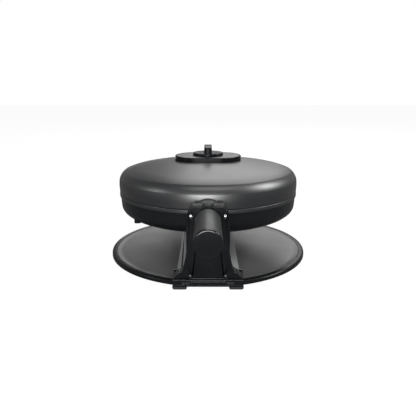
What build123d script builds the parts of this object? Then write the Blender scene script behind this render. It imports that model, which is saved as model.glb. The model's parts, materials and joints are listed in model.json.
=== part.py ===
from build123d import *
import os

# Rotating waffle maker in millimetres, +Z up, with the handle at the front, towards -Y.
# Pieces are built with the upright axis of the round body at X = Y = 0 and the table at Z = 0.
# save() then moves each piece so that the middle of the whole length stands at Y = 0.

# Clearances
SEAT = 0.05             # between pieces fixed to each other
RUN = 0.05              # radial, between a shaft and its bore
SLIDE = 0.2             # beside a sliding piece
PASS = 0.6              # between faces that move past each other

# Axle and lift pivot
AXLE_Z = 76.1
PIVOT_PIN_R = 4.0
PIVOT_BUSH_WALL = 2.0
PIVOT_HEAD_R = 6.5
PIVOT_HEAD_T = 2.0

# Lid, whose radius places what stands in front of it, behind it and inside it
LID_R = 114.6
LID_TOP = 117.6
DOME_RISE = 1.9
CREASE_INSET = 15.7
CREASE_R = LID_R - CREASE_INSET
CREASE_Z = 109.5
SHOULDER_RISE = 4.3
LID_WIDE_Z = 92.0
LID_RIM_INSET = 0.7
LID_RIM_R = LID_R - LID_RIM_INSET
LID_RIM_Z = 80.2
WALL = 2.3
BOSS_FACE_Y = LID_R + PASS

# Lower casing
FLANGE_INSET = 0.4
FLANGE_R = LID_R - FLANGE_INSET
FLANGE_TOP = 77.8
FLANGE_T = 2.3
FLANGE_STEP = 1.0
CASING_R = FLANGE_R - FLANGE_STEP
CASING_DRAFT = 1.3
CASING_LOW_R = CASING_R - CASING_DRAFT
CASING_LOW_Z = 59.6
CORNER_RISE = 3.3
FLOOR_INSET = 23.4
FLOOR_R = CASING_LOW_R - FLOOR_INSET
CASING_Z = 49.0
ROOT_INSET = 16.2
ROOT_Y = FLANGE_R - ROOT_INSET

# Waffle plates and what heats them
PLATE_INSET = 6.6
PLATE_R = CASING_LOW_R - WALL - PLATE_INSET
PLATE_FACE_Z = 78.4
PLATE_GAP = 1.0
PLATE_T = 12.4
MOULD_INSET = 11.0
MOULD_R = PLATE_R - MOULD_INSET
MOULD_DEPTH = 9.0
MOULD_DRAFT = 2.0
PEG_PITCH = 17.0
PEG_W = 10.5
PEG_H = 7.4
PEG_TAPER = 10
PEG_MARGIN = 5.0
HEATER_INSET = 41.0
HEATER_R = PLATE_R - HEATER_INSET
HEATER_ROD_R = 4.0
HEATER_GAP = 40         # degrees
HEATER_GAP_AT = 90      # degrees, at the rear
HEATER_PIN_TURN = 4     # degrees from each end
HEATER_PIN_R = 1.8
HEATER_PIN_L = 4.5
REFLECTOR_INSET = 12.6
REFLECTOR_R = CASING_LOW_R - WALL - REFLECTOR_INSET
REFLECTOR_T = 0.8
REFLECTOR_RIM = 4.0
REFLECTOR_DROP = 9.4
PILLAR_R = 4.0
PILLAR_INSET = 23.0
PILLAR_CIRCLE_R = PLATE_R - PILLAR_INSET
PILLAR_COUNT = 4

# Depth of the front upright, from the boss behind it
FRONT_BOSS_T = 9.1
BOSS_GAP = 0.8
BACK_SHELL_T = 8.9
FRONT_SHELL_T = 5.3
UPRIGHT_BACK_Y = -BOSS_FACE_Y - FRONT_BOSS_T - BOSS_GAP
UPRIGHT_SPLIT_Y = UPRIGHT_BACK_Y - BACK_SHELL_T
UPRIGHT_FRONT_Y = UPRIGHT_SPLIT_Y - FRONT_SHELL_T

# Front shaft, boss, handle and release button
FRONT_BOSS_R = 17.7
BOSS_FOOT_INSET = 3.0
BOSS_FOOT_Z = 59.0
FRONT_SHAFT_R = 3.6
HANDLE_R = 13.3
HANDLE_GAP = 2.2
HANDLE_L = 65.5
HANDLE_START_Y = UPRIGHT_FRONT_Y - HANDLE_GAP
HANDLE_END_Y = HANDLE_START_Y - HANDLE_L
BUTTON_T = 4.2
BUTTON_FILLET = 2.0
BUTTON_STEM_R = 9.0
BUTTON_STEM_L = 6.0
BUTTON_TRAVEL = 2.5
BUTTON_SEAM = 0.4
RELEASE_ROD_R = 1.6
CATCH_GAP = 1.0
CATCH_LEG_T = 1.3
CATCH_LEDGE_L = 2.2
CATCH_START_Y = CATCH_GAP + WALL - CASING_R
CATCH_LEG_X = (5.0, 8.0)
CATCH_LEG_Y = (CATCH_START_Y, CATCH_START_Y + CATCH_LEG_T)
CATCH_LEDGE_TIP_Y = CATCH_LEG_Y[1] + CATCH_LEDGE_L
CATCH_LEDGE_Z = (71.2, 72.9)
CATCH_PAD_TOP = 87.0
LATCH_BAR_GAP = 0.7
LATCH_BAR_T = 1.8
LATCH_BAR_START_Y = CATCH_LEDGE_TIP_Y + LATCH_BAR_GAP
LATCH_BAR_Y = (LATCH_BAR_START_Y, LATCH_BAR_START_Y + LATCH_BAR_T)
LATCH_BAR_HALF = 8.0
LATCH_BAR_Z = (73.7, 78.5)

# Rear boss, rotor shaft and lift yoke
REAR_BOSS_R = 11.0
REAR_BOSS_T = 5.2
ROTOR_SHAFT_R = 6.0
ROTOR_THREAD_R = 5.0
ROTOR_BUSH_WALL = 2.0
PIVOT_INSET = 13.0
YOKE_TAIL = 15.0
YOKE_START_Y = BOSS_FACE_Y + REAR_BOSS_T + PASS
PIVOT_Y = YOKE_START_Y + PIVOT_INSET
YOKE_END_Y = PIVOT_Y + YOKE_TAIL
YOKE_HALF_W = 15.9
YOKE_HALF_H = 12.0
YOKE_CAP_T = 2.0
NUT_ROOM_R = 11.0
NUT_ROOM_WALL = 3.0
NUT_ROOM_Y = PIVOT_Y + PIVOT_PIN_R + NUT_ROOM_WALL
WASHER_R = 8.3
WASHER_T = 1.5
WASHER_TAB_R = 10.5
WASHER_TAB_HALF = 2.0
NUT_R = 8.0
NUT_T = 4.0
THREAD_PROUD = 1.0
STOP_RING_R = 8.8
CAP_SCREW_EDGE = 3.1
CAP_SCREW_R = 1.2
CAP_SCREW_HEAD_R = 2.2
CAP_SCREW_HEAD_T = 1.0
CAP_SCREW_L = 7.0

# Floating lid hinge
HINGE_X = 44.0
HINGE_STANDOFF = 7.4
HINGE_Y = LID_R + HINGE_STANDOFF
HINGE_Z = 84.0
HINGE_PIN_R = 2.5
HINGE_KNUCKLE_R = 5.0
HINGE_HALF_W = 7.8
HINGE_ARM_HALF_W = 4.4
HINGE_FLOAT = 3.0
HINGE_STEM_T = 5.0
HINGE_STEM_Z = 62.1
HINGE_LUG_WALL = 2.8
HINGE_LUG_FOOT_Z = 58.0
HINGE_ARM_Z = (82.0, 88.5)
HINGE_PAD_TOP = 94.0

# Control pod and knob
POD_Y = 15.0
POD_W = 87.0
POD_D = 62.0
POD_CORNER = 30.0
POD_TOP = 122.2
POD_WALL = 2.5
POD_ROOT_Z = 108.0
FASCIA_T = 1.6
FASCIA_INSET = 2.2
LENS_X = 33.5
LENS_Y = 27.5
LENS_R = 1.8
LENS_PROUD = 0.3
KNOB_R = 20.0
KNOB_LIFT = 0.7
KNOB_SKIRT_T = 2.9
KNOB_CHAMFER = 0.8
GRIP_W = 10.4
GRIP_H = 9.2
GRIP_ARCH = 1.1
GRIP_MARGIN = 0.9
SPINDLE_R = 3.0
SPINDLE_Z = 106.0
THERMOSTAT_R = 13.0
THERMOSTAT_TOP = 112.5
FUSE_R = 3.0
FUSE_L = 22.0
FUSE_PLACE = (-30.0, -22.0)

# Small lamp under the lower casing
LAMP_INSET = 8.38794795
LAMP_TURN = 37.733045594
LAMP_R = 4.0
LAMP_Z = (50.6, 62.0)

# Front upright, with points on its half outline as (x, z)
UPRIGHT_FOOT_Z = 11.4
UPRIGHT_TOP = 91.0
UPRIGHT_WALL = 2.5
HEAD_HALF = 20.4
HEAD_CHAMFER = (4.0, 5.0)
HEAD_LOW_Z = 58.4
FRONT_WAIST = (23.1, 39.4)
BACK_TOP = (16.5, 91.8)
BACK_SHOULDER = (23.1, 78.4)
BACK_HIP = (22.8, 42.0)
BACK_WAIST = (24.3, 31.1)
KNEE = (25.9, 24.7)
KNEE_BEND = (27.5, 20.7)
FLARE_TOP = (32.1, 17.5)
FLARE_HALF = 38.2
HOLLOW_Z = (20.0, 64.0)
SLOT_HALF = 3.8
LINER_WALL = 1.8
LINER_LIP = 0.4
PANEL_Z = (12.6, 62.0)
PANEL_HALF = (16.6, 10.6)
PANEL_DEPTH = 0.8
UPRIGHT_SCREWS_AT = ((18.8, 14.8), (17.65, 80.9))
SCREW_HEAD_R = 2.0
SCREW_HEAD_T = 1.6
SCREW_PROUD = 0.3
SCREW_SHANK_R = 1.4
SCREW_L = 12.0

# Base
TRAY_Y = -13.0
TRAY_REACH = 9.0
TRAY_R = LID_R + TRAY_REACH
TRAY_RIM_Z = 8.4
TRAY_SKIRT_Z = 3.6
TRAY_LIP = 6.8
TRAY_T = 1.5
TRAY_FLOOR_Z = 5.2
TRAY_SLOPE = 5.0
SPINE_FOOT_HALF = 36.0
SPINE_CREST_HALF = 24.0
SPINE_CREST_Z = 13.8
TOE_HALF = FLARE_HALF
TOE_PROUD = 0.9
TOE_REACH = 13.1
TOE_FRONT_Y = UPRIGHT_FRONT_Y - TOE_PROUD
TOE_BACK_Y = UPRIGHT_BACK_Y + TOE_REACH
TOE_RELIEF_T = 0.5
TOE_RELIEFS = ((28.0, 7.4), (18.9, 9.3))
HEEL_OVERLAP = 19.6
HEEL_START_Y = TRAY_Y + TRAY_R - HEEL_OVERLAP
UNDERPLATE_Z = 3.0
UNDERPLATE_INSET = 0.3
WING_HALF = 44.8
WING_LEAD = 0.9
WING_Z = 3.95
BASE_SCREW_R = 1.9
BASE_SCREW_HEAD_R = 3.4
BASE_SCREW_HEAD_T = 1.6
UPRIGHT_SCREW_TIP = 18.5
SPINE_SCREW_TIP = 12.0
POST_SCREW_TIP = 21.0
BASE_SCREW_X = 12.0
MID_SCREW_Y = 60.0

# Rear post and heel
POST_HALF = 24.0
POST_LEAD = 7.0
POST_TAIL = 18.0
POST_FRONT_Y = PIVOT_Y - POST_LEAD
POST_BACK_Y = PIVOT_Y + POST_TAIL
HEEL_PROUD = 2.0
SPINE_END_Y = POST_BACK_Y + HEEL_PROUD
CHEEK_GAP = 0.6
CHEEK_R = 11.0
CHEEK_FLOOR_Z = 53.0
POST_HOLLOW_HALF = 19.0
POST_HOLLOW_Z = (24.0, 48.0)
POST_FRONT_WALL = 6.0
POST_HOLLOW_Y = POST_FRONT_Y + POST_FRONT_WALL
POST_COVER_T = 2.0
GLAND_Z = 33.0
GLAND_R = 6.0
GLAND_BORE_R = 3.2
GLAND_FLANGE_R = 8.5
GLAND_FLANGE_T = 2.0
GLAND_PROUD = 8.0
GLAND_END_Y = POST_BACK_Y + GLAND_PROUD

# Feet
FRONT_FOOT_X = (22.4, 38.1)
FRONT_FOOT_L = 12.0
FRONT_FOOT_Y = (TOE_FRONT_Y, TOE_FRONT_Y + FRONT_FOOT_L)
SIDE_FOOT_X = (38.0, 45.9)
SIDE_FOOT_START_Y = UPRIGHT_BACK_Y + SLIDE
SIDE_FOOT_L = 12.0
SIDE_FOOT_Y = (SIDE_FOOT_START_Y, SIDE_FOOT_START_Y + SIDE_FOOT_L)
REAR_FOOT_X = (16.0, 32.0)
REAR_FOOT_L = 15.0
REAR_FOOT_INSET = 3.0
REAR_FOOT_END_Y = SPINE_END_Y - REAR_FOOT_INSET
REAR_FOOT_Y = (REAR_FOOT_END_Y - REAR_FOOT_L, REAR_FOOT_END_Y)
TRAY_FOOT_INSET = 31.6
TRAY_FOOT_X = TRAY_R - TRAY_FOOT_INSET
TRAY_FOOT_R = 8.0
FOOT_ROUND = 2.4

LENGTH_SHIFT = -(GLAND_END_Y + HANDLE_END_Y - BUTTON_SEAM - BUTTON_T) / 2


def block(x, y, z):
    """Box between three (low, high) pairs."""
    size = [high - low for low, high in (x, y, z)]
    middle = [(high + low) / 2 for low, high in (x, y, z)]
    return Pos(*middle) * Box(*size)


def rod(radius, start, length, axis):
    """Cylinder from its start point along +X, +Y or +Z."""
    turn = {"X": Rot(0, 90, 0), "Y": Rot(-90, 0, 0), "Z": Rot(0, 0, 0)}[axis]
    return Pos(*start) * turn * Cylinder(radius, length, align=(Align.CENTER, Align.CENTER, Align.MIN))


def rod_y(radius, long, x=0, z=AXLE_Z):
    """Cylinder along Y between two places, on the axle unless told otherwise."""
    return rod(radius, (x, long[0], z), long[1] - long[0], "Y")


def turned(points):
    """Solid of revolution about Z through (radius, height) points; a third value bows the next stretch."""
    edges = []
    for start, end in zip(points, points[1:] + points[:1]):
        a = Vector(start[0], 0, start[1])
        b = Vector(end[0], 0, end[1])
        if len(start) == 3:
            along = b - a
            outward = Vector(-along.Z, 0, along.X).normalized()
            edges.append(ThreePointArc(a, (a + b) * 0.5 + outward * start[2], b))
        else:
            edges.append(Line(a, b))
    return revolve(make_face(edges), Axis.Z)


def both_sides(piece):
    """The piece and its mirror image across X = 0."""
    return piece + mirror(piece, about=Plane.YZ)


def save(name, piece):
    """Write one node, moved into the common frame."""
    export_step(Pos(0, LENGTH_SHIFT, 0) * piece, os.path.join("parts", name + ".step"))


def lid_form(inset):
    """Outer form of the lid; with an inset, the room inside it, open below."""
    bottom = LID_RIM_Z - max(inset, 0)
    return turned([
        (0, LID_TOP - inset, DOME_RISE),
        (CREASE_R - 0.6 * inset, CREASE_Z - inset, SHOULDER_RISE),
        (LID_R - inset, LID_WIDE_Z),
        (LID_RIM_R - inset, bottom),
        (0, bottom),
    ])


def casing_form(grow):
    """Outer form of the lower casing, with its flange."""
    return turned([
        (0, FLANGE_TOP + grow),
        (FLANGE_R + grow, FLANGE_TOP + grow),
        (FLANGE_R + grow, FLANGE_TOP - FLANGE_T - grow),
        (CASING_R + grow, FLANGE_TOP - FLANGE_T - grow),
        (CASING_LOW_R + grow, CASING_LOW_Z, CORNER_RISE),
        (FLOOR_R + 0.5 * grow, CASING_Z - grow),
        (0, CASING_Z - grow),
    ])


def casing_room():
    """Room inside the lower casing, open above."""
    return turned([
        (0, FLANGE_TOP + WALL),
        (CASING_R - WALL, FLANGE_TOP + WALL),
        (CASING_LOW_R - WALL, CASING_LOW_Z, CORNER_RISE),
        (FLOOR_R - 0.5 * WALL, CASING_Z + WALL),
        (0, CASING_Z + WALL),
    ])


# Waffle plates, heaters, reflectors and pillars: the lower set, and its mirror image for the lid
PLATE_BACK_Z = PLATE_FACE_Z - PLATE_T
MID_Z = PLATE_FACE_Z + PLATE_GAP / 2
HEATER_Z = PLATE_BACK_Z - HEATER_ROD_R - SEAT
REFLECTOR_Z = PLATE_BACK_Z - REFLECTOR_DROP
MIRROR_PLANE = Plane.XY.offset(MID_Z)


def waffle_plate():
    """Lower cast plate, face up, with square pegs in its mould."""
    plate = turned([
        (0, PLATE_BACK_Z),
        (PLATE_R, PLATE_BACK_Z),
        (PLATE_R, PLATE_FACE_Z),
        (MOULD_R, PLATE_FACE_Z),
        (MOULD_R - MOULD_DRAFT, PLATE_FACE_Z - MOULD_DEPTH),
        (0, PLATE_FACE_Z - MOULD_DEPTH),
    ])
    peg = extrude(Rectangle(PEG_W, PEG_W), PEG_H, taper=PEG_TAPER)
    reach = MOULD_R - PEG_MARGIN - PEG_W / 2 * 2 ** 0.5
    rows = int(reach / PEG_PITCH) + 1
    steps = [(i + 0.5) * PEG_PITCH for i in range(-rows, rows)]
    places = [(x, y) for x in steps for y in steps if (x * x + y * y) ** 0.5 <= reach]
    floor = PLATE_FACE_Z - MOULD_DEPTH
    return plate + [Pos(x, y, floor) * peg for x, y in places]


def heater():
    """Tubular ring element with its two terminal pins at the rear."""
    section = Plane.XZ * Pos(HEATER_R, HEATER_Z) * Circle(HEATER_ROD_R)
    start = HEATER_GAP_AT + HEATER_GAP / 2
    end = HEATER_GAP_AT - HEATER_GAP / 2
    ring = Rot(0, 0, start) * revolve(section, Axis.Z, 360 - HEATER_GAP)
    pin_z = HEATER_Z - HEATER_PIN_L
    for angle in (start + HEATER_PIN_TURN, end - HEATER_PIN_TURN):
        ring += Rot(0, 0, angle) * rod(HEATER_PIN_R, (HEATER_R, 0, pin_z), HEATER_PIN_L, "Z")
    return ring


def pillar_places():
    return PolarLocations(PILLAR_CIRCLE_R, PILLAR_COUNT, 180 / PILLAR_COUNT)


def reflector():
    """Thin dish behind the heater, pierced for the pillars."""
    low = REFLECTOR_Z
    dish = turned([
        (0, low),
        (REFLECTOR_R, low),
        (REFLECTOR_R, low + REFLECTOR_RIM),
        (REFLECTOR_R - REFLECTOR_T, low + REFLECTOR_RIM),
        (REFLECTOR_R - REFLECTOR_T, low + REFLECTOR_T),
        (0, low + REFLECTOR_T),
    ])
    hole = rod(PILLAR_R + SEAT, (0, 0, low - 1), REFLECTOR_T + 2, "Z")
    return dish - [place * hole for place in pillar_places()]


def pillars(bottom):
    """Posts that carry the plate on its shell."""
    post = rod(PILLAR_R, (0, 0, bottom), PLATE_BACK_Z - SEAT - bottom, "Z")
    return Part() + [place * post for place in pillar_places()]


# Lower half: casing, bosses, shafts, handle
ROD_HOLE_R = RELEASE_ROD_R + SLIDE


def lower_casing():
    shell = casing_form(0) - casing_room()
    return shell - rod_y(ROD_HOLE_R, (-FLANGE_R - 1, -PLATE_R))


def saddle(radius, side):
    """Block on the front (side -1) or rear (side 1) of the casing that carries a boss."""
    half = radius - BOSS_FOOT_INSET
    long = sorted((side * ROOT_Y, side * (BOSS_FACE_Y - SEAT)))
    return block((-half, half), long, (BOSS_FOOT_Z, FLANGE_TOP - FLANGE_T)) - casing_form(SEAT)


def boss_saddles():
    front = saddle(FRONT_BOSS_R, -1) - rod_y(ROD_HOLE_R, (-BOSS_FACE_Y, -ROOT_Y))
    return front + saddle(REAR_BOSS_R, 1)


def lower_lamp():
    reach = LID_R - LAMP_INSET
    at = Vector(-reach, 0, 0).rotate(Axis.Z, LAMP_TURN)
    place = (at.X, at.Y)
    lens = rod(LAMP_R, (*place, LAMP_Z[0]), LAMP_Z[1] - LAMP_Z[0], "Z")
    return lens - casing_form(SEAT)


FRONT_HUB_Y = -BOSS_FACE_Y - FRONT_BOSS_T
BUTTON_ROOM_Y = HANDLE_END_Y + BUTTON_STEM_L + BUTTON_TRAVEL
SHAFT_TIP_Y = BUTTON_ROOM_Y + SEAT


def front_shaft():
    """Hollow shaft from the boss into the handle; the release rod slides in it."""
    shaft = rod_y(FRONT_SHAFT_R, (SHAFT_TIP_Y, -BOSS_FACE_Y))
    return shaft - rod_y(RELEASE_ROD_R + RUN, (SHAFT_TIP_Y - 1, -BOSS_FACE_Y + 1))


def front_boss():
    hub = rod_y(FRONT_BOSS_R, (FRONT_HUB_Y, -BOSS_FACE_Y))
    return hub - rod_y(FRONT_SHAFT_R + SEAT, (FRONT_HUB_Y - 1, -BOSS_FACE_Y + 1))


def handle_grip():
    grip = rod_y(HANDLE_R, (HANDLE_END_Y, HANDLE_START_Y))
    grip -= rod_y(FRONT_SHAFT_R + SEAT, (HANDLE_END_Y, HANDLE_START_Y))
    return grip - rod_y(BUTTON_STEM_R + SLIDE, (HANDLE_END_Y - 1, BUTTON_ROOM_Y))


def release_button():
    """End cap of the handle, drawn pushed in, where the latch is open."""
    back_y = HANDLE_END_Y - BUTTON_SEAM
    cap = rod_y(HANDLE_R, (back_y - BUTTON_T, back_y))
    cap = fillet(cap.faces().sort_by(Axis.Y)[0].edges(), BUTTON_FILLET)
    cap += rod_y(BUTTON_STEM_R, (back_y, HANDLE_END_Y + BUTTON_STEM_L))
    return cap - rod_y(RELEASE_ROD_R + SEAT, (back_y, HANDLE_END_Y + BUTTON_STEM_L + 1))


def release_rod():
    return rod_y(RELEASE_ROD_R, (HANDLE_END_Y - BUTTON_SEAM + SEAT, LATCH_BAR_Y[1]))


def latch_bar():
    bar = block((-LATCH_BAR_HALF, LATCH_BAR_HALF), LATCH_BAR_Y, LATCH_BAR_Z)
    return bar - rod_y(RELEASE_ROD_R + SEAT, (LATCH_BAR_Y[0] - 1, LATCH_BAR_Y[1] + 1))


def latch_catch():
    """Two legs that hang from the lid's wall, each with a ledge for the latch bar."""
    leg = block(CATCH_LEG_X, CATCH_LEG_Y, (CATCH_LEDGE_Z[0], CATCH_PAD_TOP))
    leg += block(CATCH_LEG_X, (CATCH_LEG_Y[0], CATCH_LEDGE_TIP_Y), CATCH_LEDGE_Z)
    pad = block(CATCH_LEG_X, (-LID_R, CATCH_LEG_Y[1]), (LID_RIM_Z + 1, CATCH_PAD_TOP))
    leg += pad & lid_form(WALL + 2 * SEAT)
    return both_sides(leg)


# Rotor shaft and lift yoke
BUSH_R = ROTOR_SHAFT_R + RUN + ROTOR_BUSH_WALL
WASHER_Y = NUT_ROOM_Y + PASS
NUT_Y = WASHER_Y + WASHER_T + SEAT


def rear_boss():
    hub = rod_y(REAR_BOSS_R, (BOSS_FACE_Y, BOSS_FACE_Y + REAR_BOSS_T))
    return hub - rod_y(ROTOR_SHAFT_R + SEAT, (BOSS_FACE_Y - 1, BOSS_FACE_Y + REAR_BOSS_T + 1))


def rotor_shaft():
    thick = rod_y(ROTOR_SHAFT_R, (BOSS_FACE_Y + SEAT, WASHER_Y))
    return thick + rod_y(ROTOR_THREAD_R, (WASHER_Y - 1, NUT_Y + NUT_T + THREAD_PROUD))


def shaft_washer():
    """Washer with one tab that meets the stop ring at each end of the half turn."""
    disc = rod_y(WASHER_R, (WASHER_Y, WASHER_Y + WASHER_T))
    tab_z = (AXLE_Z - WASHER_TAB_HALF, AXLE_Z + WASHER_TAB_HALF)
    disc += block((0, WASHER_TAB_R), (WASHER_Y, WASHER_Y + WASHER_T), tab_z)
    return disc - rod_y(ROTOR_THREAD_R + SEAT, (WASHER_Y - 1, WASHER_Y + WASHER_T + 1))


def shaft_nut():
    turn = Pos(0, NUT_Y, AXLE_Z) * Rot(-90, 0, 0)
    return turn * extrude(RegularPolygon(NUT_R, 6) - Circle(ROTOR_THREAD_R + SEAT), NUT_T)


def rotor_bush():
    bush = rod_y(BUSH_R, (YOKE_START_Y, NUT_ROOM_Y))
    return bush - rod_y(ROTOR_SHAFT_R + RUN, (YOKE_START_Y - 1, NUT_ROOM_Y + 1))


def yoke_screw_places():
    """Two screws beside the nut room, above and below on opposite sides."""
    x = YOKE_HALF_W - CAP_SCREW_EDGE
    z = YOKE_HALF_H - CAP_SCREW_EDGE
    return [(side * x, AXLE_Z + side * z) for side in (-1, 1)]


def yoke():
    """Block that carries the rotor and swings on the lift pins."""
    high = (AXLE_Z - YOKE_HALF_H, AXLE_Z + YOKE_HALF_H)
    body = block((-YOKE_HALF_W, YOKE_HALF_W), (YOKE_START_Y, YOKE_END_Y), high)
    body -= rod_y(BUSH_R + SEAT, (YOKE_START_Y - 1, NUT_ROOM_Y + 1))
    body -= rod_y(NUT_ROOM_R, (NUT_ROOM_Y, YOKE_END_Y + 1))
    body -= rod(PIVOT_PIN_R + SEAT, (-YOKE_HALF_W - 1, PIVOT_Y, AXLE_Z), 2 * YOKE_HALF_W + 2, "X")
    for x, z in yoke_screw_places():
        body -= rod_y(CAP_SCREW_R + SEAT, (YOKE_END_Y - CAP_SCREW_L, YOKE_END_Y + 1), x, z)
    return body


def yoke_cap():
    high = (AXLE_Z - YOKE_HALF_H, AXLE_Z + YOKE_HALF_H)
    cap_y = (YOKE_END_Y + SEAT, YOKE_END_Y + SEAT + YOKE_CAP_T)
    cap = block((-YOKE_HALF_W, YOKE_HALF_W), cap_y, high)
    for x, z in yoke_screw_places():
        cap -= rod_y(CAP_SCREW_R + SEAT, (YOKE_END_Y - 1, cap_y[1] + 1), x, z)
    return cap


def yoke_cap_screws():
    head_y = YOKE_END_Y + YOKE_CAP_T + 2 * SEAT
    screws = Part()
    for x, z in yoke_screw_places():
        screws += rod_y(CAP_SCREW_R, (YOKE_END_Y - CAP_SCREW_L + SEAT, head_y), x, z)
        screws += rod_y(CAP_SCREW_HEAD_R, (head_y, head_y + CAP_SCREW_HEAD_T), x, z)
    return screws


def turn_stop():
    """Lower half ring in the nut room that ends the half turn both ways."""
    ring = rod_y(NUT_ROOM_R - SEAT, (NUT_ROOM_Y + SEAT, WASHER_Y + WASHER_T))
    ring -= rod_y(STOP_RING_R, (NUT_ROOM_Y - 1, YOKE_END_Y))
    high = (AXLE_Z - WASHER_TAB_HALF - PASS, AXLE_Z + NUT_ROOM_R)
    return ring - block((-NUT_ROOM_R, NUT_ROOM_R), (NUT_ROOM_Y - 1, YOKE_END_Y), high)


def lift_pins():
    start = BUSH_R + PASS
    outer = POST_HALF + PASS
    pin = rod(PIVOT_PIN_R, (start, PIVOT_Y, AXLE_Z), outer - start, "X")
    return both_sides(pin + rod(PIVOT_HEAD_R, (outer - SEAT, PIVOT_Y, AXLE_Z), PIVOT_HEAD_T, "X"))


# Floating hinge
STEM_HALF = HINGE_STEM_T / 2
HINGE_SPAN = (HINGE_X - HINGE_HALF_W, HINGE_X + HINGE_HALF_W)
ARM_SPAN = (HINGE_X - HINGE_ARM_HALF_W, HINGE_X + HINGE_ARM_HALF_W)


def hinge_base():
    """Lugs on the casing, each with an upright slot for the hinge carriage."""
    lug_x = (HINGE_SPAN[0] - HINGE_LUG_WALL - SLIDE, HINGE_SPAN[1] + HINGE_LUG_WALL + SLIDE)
    back_y = HINGE_Y + STEM_HALF + SLIDE + HINGE_LUG_WALL
    lug_top = HINGE_Z - HINGE_KNUCKLE_R - HINGE_FLOAT
    lug = block(lug_x, (ROOT_Y, back_y), (HINGE_LUG_FOOT_Z, lug_top)) - casing_form(SEAT)
    slot_x = (HINGE_SPAN[0] - SLIDE, HINGE_SPAN[1] + SLIDE)
    slot_y = (HINGE_Y - STEM_HALF - SLIDE, HINGE_Y + STEM_HALF + SLIDE)
    return both_sides(lug - block(slot_x, slot_y, (HINGE_STEM_Z - SEAT, lug_top + 1)))


def hinge_carriage():
    """Stem and fork on each side, free to rise by the float."""
    stem_y = (HINGE_Y - STEM_HALF, HINGE_Y + STEM_HALF)
    side = block(HINGE_SPAN, stem_y, (HINGE_STEM_Z, HINGE_Z))
    side += rod(HINGE_KNUCKLE_R, (HINGE_SPAN[0], HINGE_Y, HINGE_Z), 2 * HINGE_HALF_W, "X")
    room_x = (ARM_SPAN[0] - SLIDE, ARM_SPAN[1] + SLIDE)
    reach = HINGE_KNUCKLE_R + PASS
    side -= block(room_x, (HINGE_Y - reach, HINGE_Y + reach), (HINGE_Z - reach, HINGE_Z + reach))
    side -= rod(HINGE_PIN_R + SEAT, (HINGE_SPAN[0] - 1, HINGE_Y, HINGE_Z), 2 * HINGE_HALF_W + 2, "X")
    return both_sides(side)


def hinge_pins():
    return both_sides(rod(HINGE_PIN_R, (HINGE_SPAN[0], HINGE_Y, HINGE_Z), 2 * HINGE_HALF_W, "X"))


def lid_hinge_arms():
    arm = block(ARM_SPAN, (ROOT_Y, HINGE_Y), HINGE_ARM_Z)
    pad_back_y = HINGE_Y - 2 * HINGE_KNUCKLE_R - PASS
    arm += block(HINGE_SPAN, (ROOT_Y, pad_back_y), (HINGE_ARM_Z[0], HINGE_PAD_TOP))
    arm -= lid_form(-SEAT)
    wide = 2 * HINGE_ARM_HALF_W
    arm += rod(HINGE_KNUCKLE_R, (ARM_SPAN[0], HINGE_Y, HINGE_Z), wide, "X")
    return both_sides(arm - rod(HINGE_PIN_R + RUN, (ARM_SPAN[0] - 1, HINGE_Y, HINGE_Z), wide + 2, "X"))


# Lid, pod and knob
FASCIA_Z = POD_TOP - FASCIA_T
KNOB_Z = POD_TOP + KNOB_LIFT
KNOB_TOP = KNOB_Z + KNOB_SKIRT_T
SPINDLE_HOLE_R = SPINDLE_R + SLIDE


def spindle_hole(bottom, top):
    return rod(SPINDLE_HOLE_R, (0, POD_Y, bottom), top - bottom, "Z")


def lid_shell():
    return lid_form(0) - lid_form(WALL) - spindle_hole(LID_RIM_Z, LID_TOP + 1)


def pod_slab(inset, bottom, top):
    outline = RectangleRounded(POD_W - 2 * inset, POD_D - 2 * inset, POD_CORNER - inset)
    return Pos(0, POD_Y, bottom) * extrude(outline, top - bottom)


def control_pod():
    pod = pod_slab(0, POD_ROOT_Z, POD_TOP)
    pod = chamfer(pod.faces().sort_by(Axis.Z)[-1].edges(), KNOB_CHAMFER)
    pod -= pod_slab(POD_WALL, POD_ROOT_Z - 1, FASCIA_Z - FASCIA_T)
    pod -= pod_slab(FASCIA_INSET, FASCIA_Z - SEAT, POD_TOP + 1)
    return pod - lid_form(-SEAT) - spindle_hole(POD_ROOT_Z, POD_TOP + 1)


def lens_places():
    return [Pos(side * LENS_X, LENS_Y, FASCIA_Z) for side in (-1, 1)]


def pod_fascia():
    plate = pod_slab(FASCIA_INSET + SEAT, FASCIA_Z, POD_TOP) - spindle_hole(POD_ROOT_Z, POD_TOP + 1)
    return plate - [place * rod(LENS_R + SEAT, (0, 0, -1), FASCIA_T + 2, "Z") for place in lens_places()]


def indicator_lenses():
    return Part() + [place * rod(LENS_R, (0, 0, 0), FASCIA_T + LENS_PROUD, "Z") for place in lens_places()]


def knob_skirt():
    skirt = rod(KNOB_R, (0, POD_Y, KNOB_Z), KNOB_SKIRT_T, "Z")
    skirt = chamfer(skirt.faces().sort_by(Axis.Z)[-1].edges(), KNOB_CHAMFER)
    return skirt - rod(SPINDLE_R + SEAT, (0, POD_Y, KNOB_Z - 1), KNOB_SKIRT_T + 2, "Z")


def knob_grip():
    """Bar across the skirt, with an arched top."""
    half = KNOB_R - GRIP_MARGIN
    bottom = KNOB_TOP + SEAT
    top = KNOB_TOP + GRIP_H
    end = top - GRIP_ARCH
    outline = [(-half, end), (-half, bottom), (half, bottom), (half, end)]
    corners = [Vector(0, POD_Y + y, z) for y, z in outline]
    arch = ThreePointArc(corners[3], Vector(0, POD_Y, top), corners[0])
    side = make_face([arch] + [Line(a, b) for a, b in zip(corners, corners[1:])])
    return extrude(side, GRIP_W / 2, both=True, dir=(1, 0, 0))


def knob_spindle():
    return rod(SPINDLE_R, (0, POD_Y, SPINDLE_Z), KNOB_TOP - SPINDLE_Z, "Z")


UPPER_REFLECTOR_TOP = 2 * MID_Z - REFLECTOR_Z


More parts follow.
